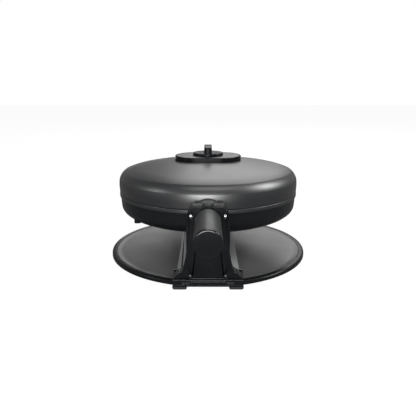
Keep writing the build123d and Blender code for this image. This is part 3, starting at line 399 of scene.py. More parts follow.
def screw_tree():
    """Domed cross-head screws on points, each with a plain shank of the point's length."""
    tree, given = new_tree("cross_head_screws", (
        ("Head radius", "Float"), ("Head height", "Float"), ("Recess width", "Float"),
        ("Shank radius", "Float"), ("Direction", "Vector"), ("Finish", "Material")))
    radius = given["Head radius"]
    height = given["Head height"]
    # Shares by which a head draws in towards its top and falls towards its rim.
    slimming = 0.16
    doming = 0.38
    blank = add_node(tree, "GeometryNodeMeshCylinder", {"fill_type": "TRIANGLE_FAN"}, {
        "Vertices": 28, "Side Segments": 4, "Fill Segments": 4, "Radius": radius, "Depth": height})
    place = add_node(tree, "GeometryNodeInputPosition").outputs["Position"]
    level = add_node(tree, "ShaderNodeSeparateXYZ", inputs={"Vector": place}).outputs["Z"]
    flat = add_node(tree, "ShaderNodeVectorMath", {"operation": "MULTIPLY"}, {
        0: place, 1: (1.0, 1.0, 0.0)}).outputs["Vector"]
    share = add_node(tree, "ShaderNodeMath", {"operation": "DIVIDE"}, {0: level, 1: height}).outputs[0]
    rise = add_node(tree, "ShaderNodeMath", {"operation": "ADD"}, {0: share, 1: 0.5}).outputs[0]
    late = add_node(tree, "ShaderNodeMath", {"operation": "POWER"}, {0: rise, 1: 4.0}).outputs[0]
    slim = add_node(tree, "ShaderNodeMath", {"operation": "MULTIPLY_ADD"}, {
        0: late, 1: -slimming, 2: 1.0}).outputs[0]
    out = add_node(tree, "ShaderNodeVectorMath", {"operation": "LENGTH"}, {0: flat}).outputs["Value"]
    spread = add_node(tree, "ShaderNodeMath", {"operation": "DIVIDE"}, {0: out, 1: radius}).outputs[0]
    bowl = add_node(tree, "ShaderNodeMath", {"operation": "POWER"}, {0: spread, 1: 2.0}).outputs[0]
    dip = add_node(tree, "ShaderNodeMath", {"operation": "MULTIPLY"}, {0: bowl, 1: doming}).outputs[0]
    partly = add_node(tree, "ShaderNodeMath", {"operation": "MULTIPLY"}, {0: dip, 1: rise}).outputs[0]
    fall = add_node(tree, "ShaderNodeMath", {"operation": "MULTIPLY"}, {0: partly, 1: height}).outputs[0]
    lift = add_node(tree, "ShaderNodeMath", {"operation": "MULTIPLY"}, {0: rise, 1: height}).outputs[0]
    up = add_node(tree, "ShaderNodeMath", {"operation": "SUBTRACT"}, {0: lift, 1: fall}).outputs[0]
    drawn_in = add_node(tree, "ShaderNodeVectorMath", {"operation": "SCALE"}, {
        0: flat, "Scale": slim}).outputs["Vector"]
    raised = add_node(tree, "ShaderNodeCombineXYZ", inputs={"Z": up}).outputs["Vector"]
    domed = add_node(tree, "ShaderNodeVectorMath", {"operation": "ADD"}, {0: drawn_in, 1: raised})
    head = add_node(tree, "GeometryNodeSetPosition", inputs={
        "Geometry": blank.outputs["Mesh"], "Position": domed.outputs["Vector"]})
    arm = add_node(tree, "ShaderNodeMath", {"operation": "MULTIPLY"}, {0: radius, 1: 1.15}).outputs[0]
    width = given["Recess width"]
    cuts = []
    for size in ({"X": width, "Y": arm, "Z": height}, {"X": arm, "Y": width, "Z": height}):
        cube = add_node(tree, "GeometryNodeMeshCube", inputs={
            "Size": add_node(tree, "ShaderNodeCombineXYZ", inputs=size).outputs["Vector"]})
        above = add_node(tree, "ShaderNodeCombineXYZ", inputs={"Z": height})
        cuts.append(add_node(tree, "GeometryNodeTransform", inputs={
            "Geometry": cube.outputs["Mesh"], "Translation": above.outputs["Vector"]}).outputs["Geometry"])
    recessed = add_node(tree, "GeometryNodeMeshBoolean", {"operation": "DIFFERENCE"}, {
        0: head.outputs["Geometry"]})
    for cut in cuts:
        tree.links.new(cut, recessed.inputs[1])
    turned_to = add_node(tree, "FunctionNodeAlignRotationToVector", {"axis": "Z"}, {
        "Vector": given["Direction"]}).outputs["Rotation"]
    heads = add_node(tree, "GeometryNodeInstanceOnPoints", inputs={
        "Points": given["Geometry"], "Instance": recessed.outputs["Mesh"], "Rotation": turned_to})
    pin = add_node(tree, "GeometryNodeMeshCylinder", {"fill_type": "TRIANGLE_FAN"}, {
        "Vertices": 20, "Radius": given["Shank radius"], "Depth": 1.0})
    drop = add_node(tree, "GeometryNodeTransform", inputs={
        "Geometry": pin.outputs["Mesh"], "Translation": (0.0, 0.0, -0.5)})
    length = add_node(tree, "GeometryNodeInputNamedAttribute", {"data_type": "FLOAT"}, {"Name": "length"})
    stretch = add_node(tree, "ShaderNodeCombineXYZ", inputs={
        "X": 1.0, "Y": 1.0, "Z": length.outputs["Attribute"]})
    pins = add_node(tree, "GeometryNodeInstanceOnPoints", inputs={
        "Points": given["Geometry"], "Instance": drop.outputs["Geometry"], "Rotation": turned_to,
        "Scale": stretch.outputs["Vector"]})
    both = add_node(tree, "GeometryNodeJoinGeometry", inputs={"Geometry": heads.outputs["Instances"]})
    tree.links.new(pins.outputs["Instances"], both.inputs["Geometry"])
    return closed_tree(tree, both.outputs["Geometry"], given["Finish"])


def peg_tree():
    """Waffle plate with square tapered pegs on a grid inside its mould."""
    tree, given = new_tree("waffle_pegs", (
        ("Pitch", "Float"), ("Rows", "Int"), ("Reach", "Float"), ("Foot width", "Float"),
        ("Top width", "Float"), ("Height", "Float"), ("Floor", "Vector"), ("Turn", "Vector"),
        ("Finish", "Material")))
    gaps = add_node(tree, "ShaderNodeMath", {"operation": "SUBTRACT"}, {0: given["Rows"], 1: 1.0}).outputs[0]
    across = add_node(tree, "ShaderNodeMath", {"operation": "MULTIPLY"}, {
        0: given["Pitch"], 1: gaps}).outputs[0]
    grid = add_node(tree, "GeometryNodeMeshGrid", inputs={
        "Size X": across, "Size Y": across, "Vertices X": given["Rows"], "Vertices Y": given["Rows"]})
    place = add_node(tree, "GeometryNodeInputPosition").outputs["Position"]
    away = add_node(tree, "ShaderNodeVectorMath", {"operation": "LENGTH"}, {0: place}).outputs["Value"]
    outside = add_node(tree, "ShaderNodeMath", {"operation": "GREATER_THAN"}, {
        0: away, 1: given["Reach"]}).outputs[0]
    places = add_node(tree, "GeometryNodeDeleteGeometry", {"domain": "POINT", "mode": "ALL"}, {
        "Geometry": grid.outputs["Mesh"], "Selection": outside})
    cube = add_node(tree, "GeometryNodeMeshCube", inputs={"Size": (1.0, 1.0, 1.0)})
    level = add_node(tree, "ShaderNodeSeparateXYZ", inputs={"Vector": place}).outputs["Z"]
    width = add_node(tree, "ShaderNodeMapRange", inputs={
        "Value": level, "From Min": -0.5, "From Max": 0.5, "To Min": given["Foot width"],
        "To Max": given["Top width"]}).outputs["Result"]
    size = add_node(tree, "ShaderNodeCombineXYZ", inputs={"X": width, "Y": width, "Z": given["Height"]})
    standing = add_node(tree, "ShaderNodeVectorMath", {"operation": "ADD"}, {0: place, 1: (0.0, 0.0, 0.5)})
    tapered = add_node(tree, "ShaderNodeVectorMath", {"operation": "MULTIPLY"}, {
        0: standing.outputs["Vector"], 1: size.outputs["Vector"]})
    peg = add_node(tree, "GeometryNodeSetPosition", inputs={
        "Geometry": cube.outputs["Mesh"], "Position": tapered.outputs["Vector"]})
    pegs = add_node(tree, "GeometryNodeInstanceOnPoints", inputs={
        "Points": places.outputs["Geometry"], "Instance": peg.outputs["Geometry"], "Rotation": given["Turn"]})
    placed = add_node(tree, "GeometryNodeTransform", inputs={
        "Geometry": pegs.outputs["Instances"], "Translation": given["Floor"]})
    both = add_node(tree, "GeometryNodeJoinGeometry", inputs={"Geometry": given["Geometry"]})
    tree.links.new(placed.outputs["Geometry"], both.inputs["Geometry"])
    return closed_tree(tree, both.outputs["Geometry"], given["Finish"])


def body_of(node):
    """Name of the moving body that a CAD node belongs to."""
    for body, members in frame["record"]["behaviour"]["bodies"].items():
        if node in members:
            return body
    raise ValueError(node)


def soften_part(node, name, planes, radius, material):
    """Piece that stands for a CAD node up to some planes, with its moulded edges rounded."""
    bm = copied(node)
    for point, outward in planes:
        sliced(bm, point, outward)
    dress(bevelled(bm, radius), name, body_of(node), material, (node,), 0)


def soften(node, radius, material):
    """Piece that stands for a whole CAD node, with its moulded edges rounded."""
    soften_part(node, node + "_piece", (), radius, material)


# Materials


def blank_material(name):
    """New material with an empty node tree."""
    material = bpy.data.materials.new(name)
    material.use_nodes = True
    material.node_tree.nodes.clear()
    return material


def moulded(name, colour, roughness, grain, depth, specular=0.5, cloud=0.05, smudge=18.0):
    """Moulded plastic, rubber or a baked coat: grain in the bump, faint handling marks in the roughness.

    Grain, depth and smudge are sizes in millimetres, and cloud is how far the marks change the roughness.
    The real grain is a few tenths of a millimetre. It is drawn at 0.4 to 0.8 mm, so that it shows.
    """
    material = bpy.data.materials.get(name)
    if material:
        return material
    material = blank_material(name)
    tree = material.node_tree
    place = add_node(tree, "ShaderNodeTexCoord").outputs["Object"]
    marks = add_node(tree, "ShaderNodeTexNoise", inputs={
        "Vector": place, "Scale": per_mm(smudge), "Detail": 4.0, "Roughness": 0.6})
    rough = add_node(tree, "ShaderNodeMapRange", inputs={
        "Value": marks.outputs["Fac"], "From Min": 0.3, "From Max": 0.7,
        "To Min": roughness - cloud, "To Max": roughness + cloud})
    tint = add_node(tree, "ShaderNodeMapRange", inputs={
        "Value": marks.outputs["Fac"], "From Min": 0.25, "From Max": 0.75, "To Min": 0.92, "To Max": 1.08})
    shade = add_node(tree, "ShaderNodeVectorMath", {"operation": "SCALE"}, {
        0: tuple(colour), "Scale": tint.outputs["Result"]})
    pits = add_node(tree, "ShaderNodeTexNoise", inputs={
        "Vector": place, "Scale": per_mm(grain), "Detail": 3.0, "Roughness": 0.7})
    bump = add_node(tree, "ShaderNodeBump", inputs={
        "Height": pits.outputs["Fac"], "Distance": depth * MM, "Strength": 1.0})
    shader = add_node(tree, "ShaderNodeBsdfPrincipled", inputs={
        "Base Color": shade.outputs["Vector"], "Roughness": rough.outputs["Result"],
        "Normal": bump.outputs["Normal"], "Specular IOR Level": specular})
    add_node(tree, "ShaderNodeOutputMaterial", inputs={"Surface": shader.outputs["BSDF"]})
    return material


def turned_metal(name, colour, roughness, line, axis):
    """Metal with fine lines across one axis, as a lathe or roll leaves them.

    The space between lines is in millimetres, drawn coarser than the real one, so that they show.
    """
    material = bpy.data.materials.get(name)
    if material:
        return material
    material = blank_material(name)
    tree = material.node_tree
    place = add_node(tree, "ShaderNodeTexCoord").outputs["Object"]
    along_the_line = 0.02
    stretch = [1.0 if letter == axis else along_the_line for letter in "XYZ"]
    along = add_node(tree, "ShaderNodeMapping", inputs={"Vector": place, "Scale": stretch})
    lines = add_node(tree, "ShaderNodeTexNoise", inputs={
        "Vector": along.outputs["Vector"], "Scale": per_mm(line), "Detail": 2.0})
    rough = add_node(tree, "ShaderNodeMapRange", inputs={
        "Value": lines.outputs["Fac"], "To Min": roughness - 0.08, "To Max": roughness + 0.08})
    bump = add_node(tree, "ShaderNodeBump", inputs={
        "Height": lines.outputs["Fac"], "Distance": 0.004 * MM, "Strength": 1.0})
    shader = add_node(tree, "ShaderNodeBsdfPrincipled", inputs={
        "Base Color": (*colour, 1.0), "Metallic": 1.0, "Roughness": rough.outputs["Result"],
        "Normal": bump.outputs["Normal"]})
    add_node(tree, "ShaderNodeOutputMaterial", inputs={"Surface": shader.outputs["BSDF"]})
    return material


def lid_finish():
    """Heat-proof PBT, moulded satin: charcoal that stays dark face on and mirrors the room at a slant."""
    return moulded(
        "satin_pbt_charcoal", finishes().lid, roughness=0.39, grain=0.5, depth=0.002,
        specular=0.65, cloud=0.015, smudge=40.0)


def casing_finish():
    """The same PBT in black, with less gloss, so that the casing hangs back under the lid."""
    return moulded(
        "satin_pbt_black", finishes().casing, roughness=0.36, grain=0.5, depth=0.003,
        specular=0.14, cloud=0.03, smudge=40.0)


def stand_finish():
    """Black ABS with a fine spark-eroded grain; only its rounded edges catch the light."""
    return moulded(
        "fine_grained_abs_black", finishes().stand, roughness=0.22, grain=0.6, depth=0.003, specular=0.12)


def control_finish():
    """Black ABS with a soft-touch coat on pod and knob: very dark face on, pale only at a slant."""
    return moulded(
        "soft_touch_abs_black", finishes().stand, roughness=0.26, grain=0.6, depth=0.003, specular=0.05)


def rim_finish():
    """Smoother black ABS of the tray's rim, with a soft line of light along its crown."""
    return moulded(
        "satin_abs_black", finishes().stand, roughness=0.26, grain=0.6, depth=0.001, specular=0.1)


def ridge_finish():
    """The tray's grey in moulded ABS, with a soft gloss that carries the pale backdrop down its flanks."""
    return moulded(
        "satin_abs_grey", linear("#6a6b6b"), roughness=0.46, grain=0.6, depth=0.004, specular=0.3)


def painted_shade_screw_finish():
    """The lower pair of screws, the same screws as the upper ones, made darker and bluish as painted shade,
    without the bright spark of the nickel ones.
    """
    return turned_metal("screw_steel_painted_shade", linear("#4b4b52"), roughness=0.45, line=0.4, axis="Y")


def button_finish():
    """Polished black ABS of the end cap: a narrow bright line on its rounding."""
    return moulded(
        "polished_abs_black", finishes().stand, roughness=0.17, grain=0.8, depth=0.001,
        specular=0.22, cloud=0.02)


def handle_finish():
    """Matt phenolic, dark grey, a little rough from the mould, with a long soft sheen."""
    return moulded(
        "matt_phenolic_grey", finishes().handle, roughness=0.42, grain=0.6, depth=0.005, specular=0.25)


def tray_finish():
    """Baked enamel on sheet, mid grey, with a slight orange peel."""
    return moulded(
        "baked_enamel_grey", finishes().tray, roughness=0.38, grain=0.8, depth=0.004,
        specular=0.45, cloud=0.04, smudge=30.0)


def rubber_finish():
    """Moulded rubber: dull, with a coarse skin."""
    return moulded(
        "moulded_rubber", linear("#141414"), roughness=0.75, grain=0.7, depth=0.012, specular=0.3)


def plate_finish():
    """Sprayed non-stick on die-cast aluminium: dark, slightly mottled satin."""
    return moulded("sprayed_non_stick", finishes().plates, roughness=0.38, grain=0.4, depth=0.006)


def lens_finish():
    """Smoked polycarbonate, polished and faintly wavy: two dark glossy dots beside the knob."""
    name = "smoked_polycarbonate"
    material = bpy.data.materials.get(name)
    if material:
        return material
    material = blank_material(name)
    tree = material.node_tree
    place = add_node(tree, "ShaderNodeTexCoord").outputs["Object"]
    waves = add_node(tree, "ShaderNodeTexNoise", inputs={"Vector": place, "Scale": per_mm(3.0)})
    bump = add_node(tree, "ShaderNodeBump", inputs={
        "Height": waves.outputs["Fac"], "Distance": 0.01 * MM, "Strength": 1.0})
    shader = add_node(tree, "ShaderNodeBsdfPrincipled", inputs={
        "Base Color": (*finishes().lens, 1.0), "Roughness": 0.12, "Normal": bump.outputs["Normal"],
        "Coat Weight": 0.3})
    add_node(tree, "ShaderNodeOutputMaterial", inputs={"Surface": shader.outputs["BSDF"]})
    return material


def steel_finish():
    """Turned steel of shafts and pins: mid grey, with fine rings round them."""
    return turned_metal("turned_steel", linear("#b9babc"), roughness=0.3, line=0.3, axis="Y")


def nickel_finish():
    """Nickel plate on the screws: smooth and pale, so that their heads show as bright dots."""
    return turned_metal("nickel_plated_steel", linear("#d8d8da"), roughness=0.16, line=0.4, axis="Y")


def bronze_finish():
    """Sintered bronze of the bushes: dull brown and a little rough."""
    return turned_metal("sintered_bronze", linear("#a5783f"), roughness=0.4, line=0.4, axis="Y")


def sheet_finish():
    """Rolled aluminium of the reflectors: bright, with the lines of the roll."""
    return turned_metal("bright_aluminium_sheet", linear("#c9cacc"), roughness=0.25, line=0.5, axis="X")


def heater_finish():
    """Heater tube, oxidised by its first heat: brownish grey and dull."""
    return turned_metal("oxidised_heater_tube", linear("#57544e"), roughness=0.5, line=0.6, axis="Z")


def finishes():
    """Colours that the user has set."""
    return bpy.context.scene.waffle_finishes


def edges():
    """Radii that the user has set."""
    return bpy.context.scene.waffle_edges


def steps_a_turn():
    """Faces round a large turned piece."""
    return bpy.context.scene.waffle_counts.turn_steps


# Pieces


class MakeLidShell(bpy.types.Operator):
    """Domed lid with its soft crease, rounded shoulder and rim"""

    bl_idname = "waffle.lid_shell"
    bl_label = "Lid shell"

    def execute(self, context):
        wall = 2.3 * MM
        top = 117.6 * MM
        crease = (98.9 * MM, 109.5 * MM)
        wide = (114.6 * MM, 92.0 * MM)
        rim = (113.9 * MM, 80.2 * MM)
        dome_bow = 1.9 * MM
        shoulder_bow = 4.3 * MM
        side_bend = 5 * MM
        thinner_at_crease = 0.6
        spindle_hole = 3.2 * MM

        def skin(inset):
            """Profile from the spindle's hole down to the rim, moved in by an inset."""
            start = (0, top - inset)
            bend = (crease[0] - thinner_at_crease * inset, crease[1] - inset)
            side = (wide[0] - inset, wide[1])
            foot = (rim[0] - inset, rim[1])
            dome = bowed(start, bend, dome_bow, 24)
            shoulder = bowed(bend, side, shoulder_bow, 20)
            line = dome + shoulder + bowed(side, foot, 0, 6) + [Vector(foot)]
            line = eased(line, len(dome) + len(shoulder), side_bend, 6)
            line = eased(line, len(dome), edges().crease, 12)
            return [p for p in line if p.x > spindle_hole]

        outer = skin(0)
        inner = skin(wall)
        hole_z = outer[0].y
        outer.insert(0, Vector((spindle_hole, hole_z)))
        inner.insert(0, Vector((spindle_hole, hole_z - wall)))
        lip = edges().shell
        foot_outer = outer.pop()
        foot_inner = inner.pop()
        rim_bend = rounded([
            (outer[-1].x, outer[-1].y, 0),
            (foot_outer.x, foot_outer.y, lip),
            (foot_inner.x, foot_inner.y, lip),
            (inner[-1].x, inner[-1].y, 0),
        ])[1:-1]
        bm = turn(outer + rim_bend + inner[::-1], steps_a_turn(), BODY_AXIS_Y)
        show(bm, "lid_shell_piece", "upper_half", lid_finish(), ("lid_shell",), 50)
        return {"FINISHED"}


class MakeLowerCasing(bpy.types.Operator):
    """Shallow lower casing with its flange and rounded bottom corner"""

    bl_idname = "waffle.lower_casing"
    bl_label = "Lower casing"

    def execute(self, context):
        wall = 2.3 * MM
        lip = edges().shell
        flange_r = 114.2 * MM
        flange_low = 75.5 * MM
        band_top = 79.9 * MM
        side_r = flange_r - 1.0 * MM
        low = (111.9 * MM, 59.6 * MM)
        floor = (88.5 * MM, 49.0 * MM)
        corner_bow = 3.3 * MM
        floor_bend = 6 * MM
        side_bend = 4 * MM
        side = bowed((side_r, flange_low), low, 0, 6)
        corner = bowed(low, floor, corner_bow, 18)
        base = bowed(floor, (0, floor[1]), 0, 8)
        line = side + corner + base + [Vector((0, floor[1]))]
        line = eased(line, len(side) + len(corner), floor_bend, 8)
        line = eased(line, len(side), side_bend, 6)
        inner_low = (low[0] - wall, low[1])
        inner_floor = (floor[0] - wall / 2, floor[1] + wall)
        inner = bowed((side_r - wall, flange_low), inner_low, 0, 6)
        inner += bowed(inner_low, inner_floor, corner_bow, 14)
        inner += [Vector(inner_floor), Vector((0, inner_floor[1]))]
        bm = turn(line + inner[:0:-1], steps_a_turn(), BODY_AXIS_Y)
        bmesh.ops.remove_doubles(bm, verts=bm.verts, dist=1e-6)
        show(bm, "lower_casing_piece", "lower_half", casing_finish(), ("lower_casing",), 50)
        band = rounded([
            (side_r - wall, band_top, 0),
            (flange_r, band_top, lip),
            (flange_r, flange_low, lip),
            (side_r - wall, flange_low, 0),
        ])
        bm = turn(band, steps_a_turn(), BODY_AXIS_Y)
        show(bm, "casing_band", "lower_half", lid_finish(), ("lower_casing",), 50)
        return {"FINISHED"}


class MakeDripTray(bpy.types.Operator):
    """Round tray with its rolled lip, cut away for the toe and heel of the spine"""

    bl_idname = "waffle.drip_tray"
    bl_label = "Drip tray"

    def execute(self, context):
        outer = 123.6 * MM
        rim = 8.4 * MM
        skirt = 3.6 * MM
        inner = outer - 6.8 * MM
        sheet = 1.5 * MM
        floor = 6.7 * MM
        slope = 5.0 * MM
        groove = 0.12 * MM
        lip = rounded([
            (outer, skirt, 0.3 * MM),
            (outer, rim, 2.6 * MM),
            (inner, rim, 1.2 * MM),
            (inner - sheet, rim - sheet, 0),
            (outer - sheet, rim - sheet, 1.2 * MM),
            (outer - sheet, skirt, 0.3 * MM),
        ], 6)
        dish = rounded([
            (inner - groove, rim - 0.35 * MM, 0.3 * MM),
            (inner - slope, floor, 2.0 * MM),
            (0, floor, 0),
            (0, floor - sheet, 0),
            (inner - slope - sheet, floor - sheet, 1.0 * MM),
            (inner - groove - sheet, rim - sheet, 0.3 * MM),
        ], 6)
        spine_low, spine_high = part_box("base_spine")
        toe_half = spine_high.x + 0.05 * MM
        heel_half = 36.05 * MM
        toe_back = BODY_AXIS_Y - 111.95 * MM
        heel_front = BODY_AXIS_Y + 90.95 * MM
        past = 10 * MM
        over = 20 * MM
        cuts = (
            ((-toe_half, spine_low.y - past, 0), (toe_half, toe_back, over)),
            ((-heel_half, heel_front, 0), (heel_half, spine_high.y + past, over)),
        )
        for name, outline, slot, finish in (
            ("drip_tray_lip", lip, "black_plastic", rim_finish()),
            ("drip_tray_dish", dish, "tray_enamel", tray_finish()),
        ):
            bm = turn(outline, steps_a_turn(), TRAY_AXIS_Y)
            bmesh.ops.recalc_face_normals(bm, faces=bm.faces)
            mesh = as_mesh(bm, name)
            for low, high in cuts:
                mesh = without_block(mesh, low, high)
            dress(mesh, name, "base", finish, ("drip_tray",), 45)
        return {"FINISHED"}


class MakeStand(bpy.types.Operator):
    """Upright, spine, post and their covers, with rounded mouldings"""

    bl_idname = "waffle.stand"
    bl_label = "Stand"

    def execute(self, context):
        finish = stand_finish()
        soften("front_upright", 0.6 * MM, finish)
        self.make_back(finish)
        soften("rear_post", edges().stand, finish)
        self.make_spine(finish)
        for node in ("upright_panel", "rear_post_cover", "cord_gland", "base_underplate", "cradle_liner"):
            soften(node, edges().fine, finish)
        return {"FINISHED"}

    def make_back(self, finish):
        """Rear shell of the upright, its top above a seam in the handle's grey, which stands partly for the
        grey moulding the top seems to share with the handle and partly for painted light on the top face.
        """
        seam = (0, 0, 87.6 * MM)
        soften_part("upright_back", "upright_back_shell", ((seam, (0, 0, 1)),), edges().fine, finish)
        # The top is lighter than the black shell: partly the handle's grey moulding, partly painted light on
        # the top face.
        soften_part("upright_back", "upright_back_top_painted_light", ((seam, (0, 0, -1)),), edges().fine, handle_finish())

    def make_spine(self, finish):
        """Spine in two finishes: the ridge under the body in the tray's grey, toe and heel in black."""
        toe = (0, BODY_AXIS_Y - 112.2 * MM, 0)
        heel = (0, BODY_AXIS_Y + 91.2 * MM, 0)
        forwards = (0, -1, 0)
        backwards = (0, 1, 0)
        for name, planes, coat in (
            ("spine_toe", ((toe, backwards),), finish),
            ("spine_ridge", ((toe, forwards), (heel, backwards)), ridge_finish()),
            ("spine_heel", ((heel, forwards),), finish),
        ):
            soften_part("base_spine", name, planes, edges().stand, coat)


class MakeFeet(bpy.types.Operator):
    """Rubber pads under toe, heel and tray"""

    bl_idname = "waffle.feet"
    bl_label = "Feet"

    def execute(self, context):
        for node in ("front_feet", "side_feet", "rear_feet", "tray_feet"):
            soften(node, edges().fine, rubber_finish())
        return {"FINISHED"}


class MakeBosses(bpy.types.Operator):
    """Bosses, hinge, yoke and lamp round the body"""

    bl_idname = "waffle.bosses"
    bl_label = "Bosses and hinge"

    def execute(self, context):
        for node in ("front_boss", "rear_boss"):
            soften(node, edges().stand, handle_finish())
        soften("boss_saddles", edges().fine, casing_finish())
        for node in ("hinge_base", "hinge_carriage", "lid_hinge_arms", "yoke", "yoke_cap"):
            soften(node, edges().fine, casing_finish())
        bm = copied("lower_lamp")
        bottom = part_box("lower_lamp")[0].z
        shorter = 1.5 * MM
        for vert in bm.verts:
            if vert.co.z < bottom + 0.1 * MM:
                vert.co.z += shorter
        mesh = bevelled(bm, edges().fine)
        dress(mesh, "lower_lamp_piece", "lower_half", stand_finish(), ("lower_lamp",), 0)
        return {"FINISHED"}


class MakeHandle(bpy.types.Operator):
    """Round handle bar and the release button at its end"""

    bl_idname = "waffle.handle"
    bl_label = "Handle"

    def execute(self, context):
        around = 96
        low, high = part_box("handle_grip")
        radius = 13.3 * MM
        bore = 3.65 * MM
        stem = 9.2 * MM
        recess = 8.5 * MM
        outline = rounded([
            (radius, low.y, 0.5 * MM),
            (radius, high.y, 1.2 * MM),
            (bore, high.y, 0),
            (bore, low.y + recess, 0),
            (stem, low.y + recess, 0),
            (stem, low.y, 0.3 * MM),
        ], 5)
        bm = turn(outline, around)
        onto_axle(bm)
        show(bm, "handle_grip_piece", "lower_half", handle_finish(), ("handle_grip",))
        low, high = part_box("release_button")
        face = low.y
        back = face + 4.2 * MM
        skirt = 9.0 * MM
        rod = 1.65 * MM
        outline = rounded([
            (0, face, 0),
            (radius, face, 2.0 * MM),
            (radius, back, 0.4 * MM),
            (skirt, back, 0),
            (skirt, high.y, 0.3 * MM),
            (rod, high.y, 0),
            (rod, back, 0),
            (0, back, 0),
        ], 6)
        bm = turn(outline, around, closed=False)
        onto_axle(bm)
        show(bm, "release_button_piece", "release", button_finish(), ("release_button",))
        return {"FINISHED"}


class MakeControls(bpy.types.Operator):
    """Control pod with its fascia, lenses and bar knob"""

    bl_idname = "waffle.controls"
    bl_label = "Controls"

    def execute(self, context):
        soften("control_pod", edges().fine, control_finish())
        soften("pod_fascia", 0.15 * MM, lid_finish())
        soften("indicator_lenses", 0.25 * MM, lens_finish())
        soften("knob_skirt", 0.3 * MM, stand_finish())
        self.make_grip()
        return {"FINISHED"}

    def make_grip(self):
        """Bar of the knob: round ends in plan, slightly waisted sides, arched top with soft edges."""
        low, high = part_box("knob_grip")
        half_w = high.x
        half_l = (high.y - low.y) / 2
        middle = (high.y + low.y) / 2
        end_drop = 1.1 * MM
        corner = 3.6 * MM
        edge = 1.3 * MM
        waist = 0.5 * MM
        least = 0.3 * MM
        levels = 18
        bend_steps = 5
        rows = []
        for n in range(levels + 1):
            y = -half_l * math.cos(math.pi * n / levels)
            past = max(0.0, abs(y) - (half_l - corner))
            x = half_w - corner + math.sqrt(max(0.0, corner ** 2 - past ** 2))
            x -= waist * (1 - (y / half_l) ** 2)
            rows.append((x, y))
        rings = [(0.0, None)]
        for n in range(bend_steps + 1):
            angle = math.pi / 2 * n / bend_steps
            rings.append((edge * (1 - math.cos(angle)), edge * (1 - math.sin(angle))))
        bm = bmesh.new()
        grid = []
        for inset, drop in rings:
            loop = []
            for side in (1, -1):
                for x, y in rows[::side]:
                    shrink = 1 - inset / half_l
                    z = low.z
                    if drop is not None:
                        z = high.z - end_drop * (y / half_l) ** 2 - drop
                    loop.append(bm.verts.new((side * max(x - inset, least), middle + y * shrink, z)))
            grid.append(loop)
        size = len(grid[0])
        for below, above in zip(grid, grid[1:]):
            for n in range(size):
                m = (n + 1) % size
                bm.faces.new((below[n], below[m], above[m], above[n]))
        for loop in (grid[0], grid[-1]):
            for n in range(levels):
                bm.faces.new((loop[n], loop[n + 1], loop[size - 2 - n], loop[size - 1 - n]))
        show(bm, "knob_grip_piece", "control_knob", control_finish(), ("knob_grip",), 0)


class DressInside(bpy.types.Operator):
    """Finishes of the metal and inner pieces that keep their CAD shape"""

    bl_idname = "waffle.inside"
    bl_label = "Inner pieces"

    def execute(self, context):
        groups = (
            (steel_finish(), ("front_shaft", "rotor_shaft", "shaft_washer", "shaft_nut", "lift_pins",
                              "hinge_pins", "release_rod", "latch_bar", "latch_catch", "turn_stop",
                              "knob_spindle", "lower_pillars", "upper_pillars")),
            (bronze_finish(), ("rotor_bush", "pivot_bushes")),
            (sheet_finish(), ("lower_reflector", "upper_reflector")),
            (heater_finish(), ("lower_heater", "upper_heater")),
            (rubber_finish(), ("thermostat", "thermal_fuse")),
        )
        for finish, nodes in groups:
            for node in nodes:
                mesh = frame["nodes"][node].data
                mesh.materials.clear()
                mesh.materials.append(finish)
        return {"FINISHED"}


class MakeScrews(bpy.types.Operator):
    """Cross-head screws of the upright, the base and the yoke cap"""

    bl_idname = "waffle.screws"
    bl_label = "Screws"

    def execute(self, context):
        axis_y = BODY_AXIS_Y / MM
        face_y = axis_y - 138.0
        cap_y = axis_y + 151.1
        under_z = 2.95
        bright = nickel_finish()
        dull = painted_shade_screw_finish()
        # Each screw's place and the length of its shank, in millimetres.
        high = [((x, face_y, 80.9), 10.5) for x in (-17.65, 17.65)]
        low = [((x, face_y, 14.8), 10.5) for x in (-18.8, 18.8)]
        below = [((x, axis_y + y, under_z), length) for x, y, length in (
            (-12, -129.55, 15.5), (12, -129.55, 15.5), (0, -60, 9.0), (0, 60, 9.0),
            (-12, 134, 18.0), (12, 134, 18.0))]
        cap = [((x, cap_y, z), 9.0) for x, z in ((-12.8, 67.2), (12.8, 85.0))]
        tree = screw_tree()
        # The numbers are head radius, head height, recess width and shank radius, in millimetres.
        for name, node, places, way, head, height, recess, shank, coat in (
            ("upper_upright_screws", "upright_screws", high, (0, -1, 0), 2.0, 1.6, 0.5, 1.4, bright),
            # The lower pair is the same screw in a darker copy of its metal: painted shade.
            ("lower_upright_screws", "upright_screws", low, (0, -1, 0), 2.0, 1.6, 0.5, 1.4, dull),
            ("base_screws_piece", "base_screws", below, (0, 0, -1), 3.4, 1.6, 0.8, 1.9, bright),
            ("yoke_cap_screws_piece", "yoke_cap_screws", cap, (0, 1, 0), 2.2, 1.0, 0.5, 1.2, bright),
        ):
            mesh = bpy.data.meshes.new(name)
            mesh.from_pydata([Vector(place) * MM for place, length in places], [], [])
            lengths = mesh.attributes.new("length", "FLOAT", "POINT")
            lengths.data.foreach_set("value", [length * MM for place, length in places])
            piece = loose(mesh, node)
            fitted(piece, tree, {
                "Head radius": head * MM, "Head height": height * MM, "Recess width": recess * MM,
                "Shank radius": shank * MM, "Direction": way, "Finish": coat})
            dress(baked(piece), name, body_of(node), coat, (node,), 35)
        return {"FINISHED"}


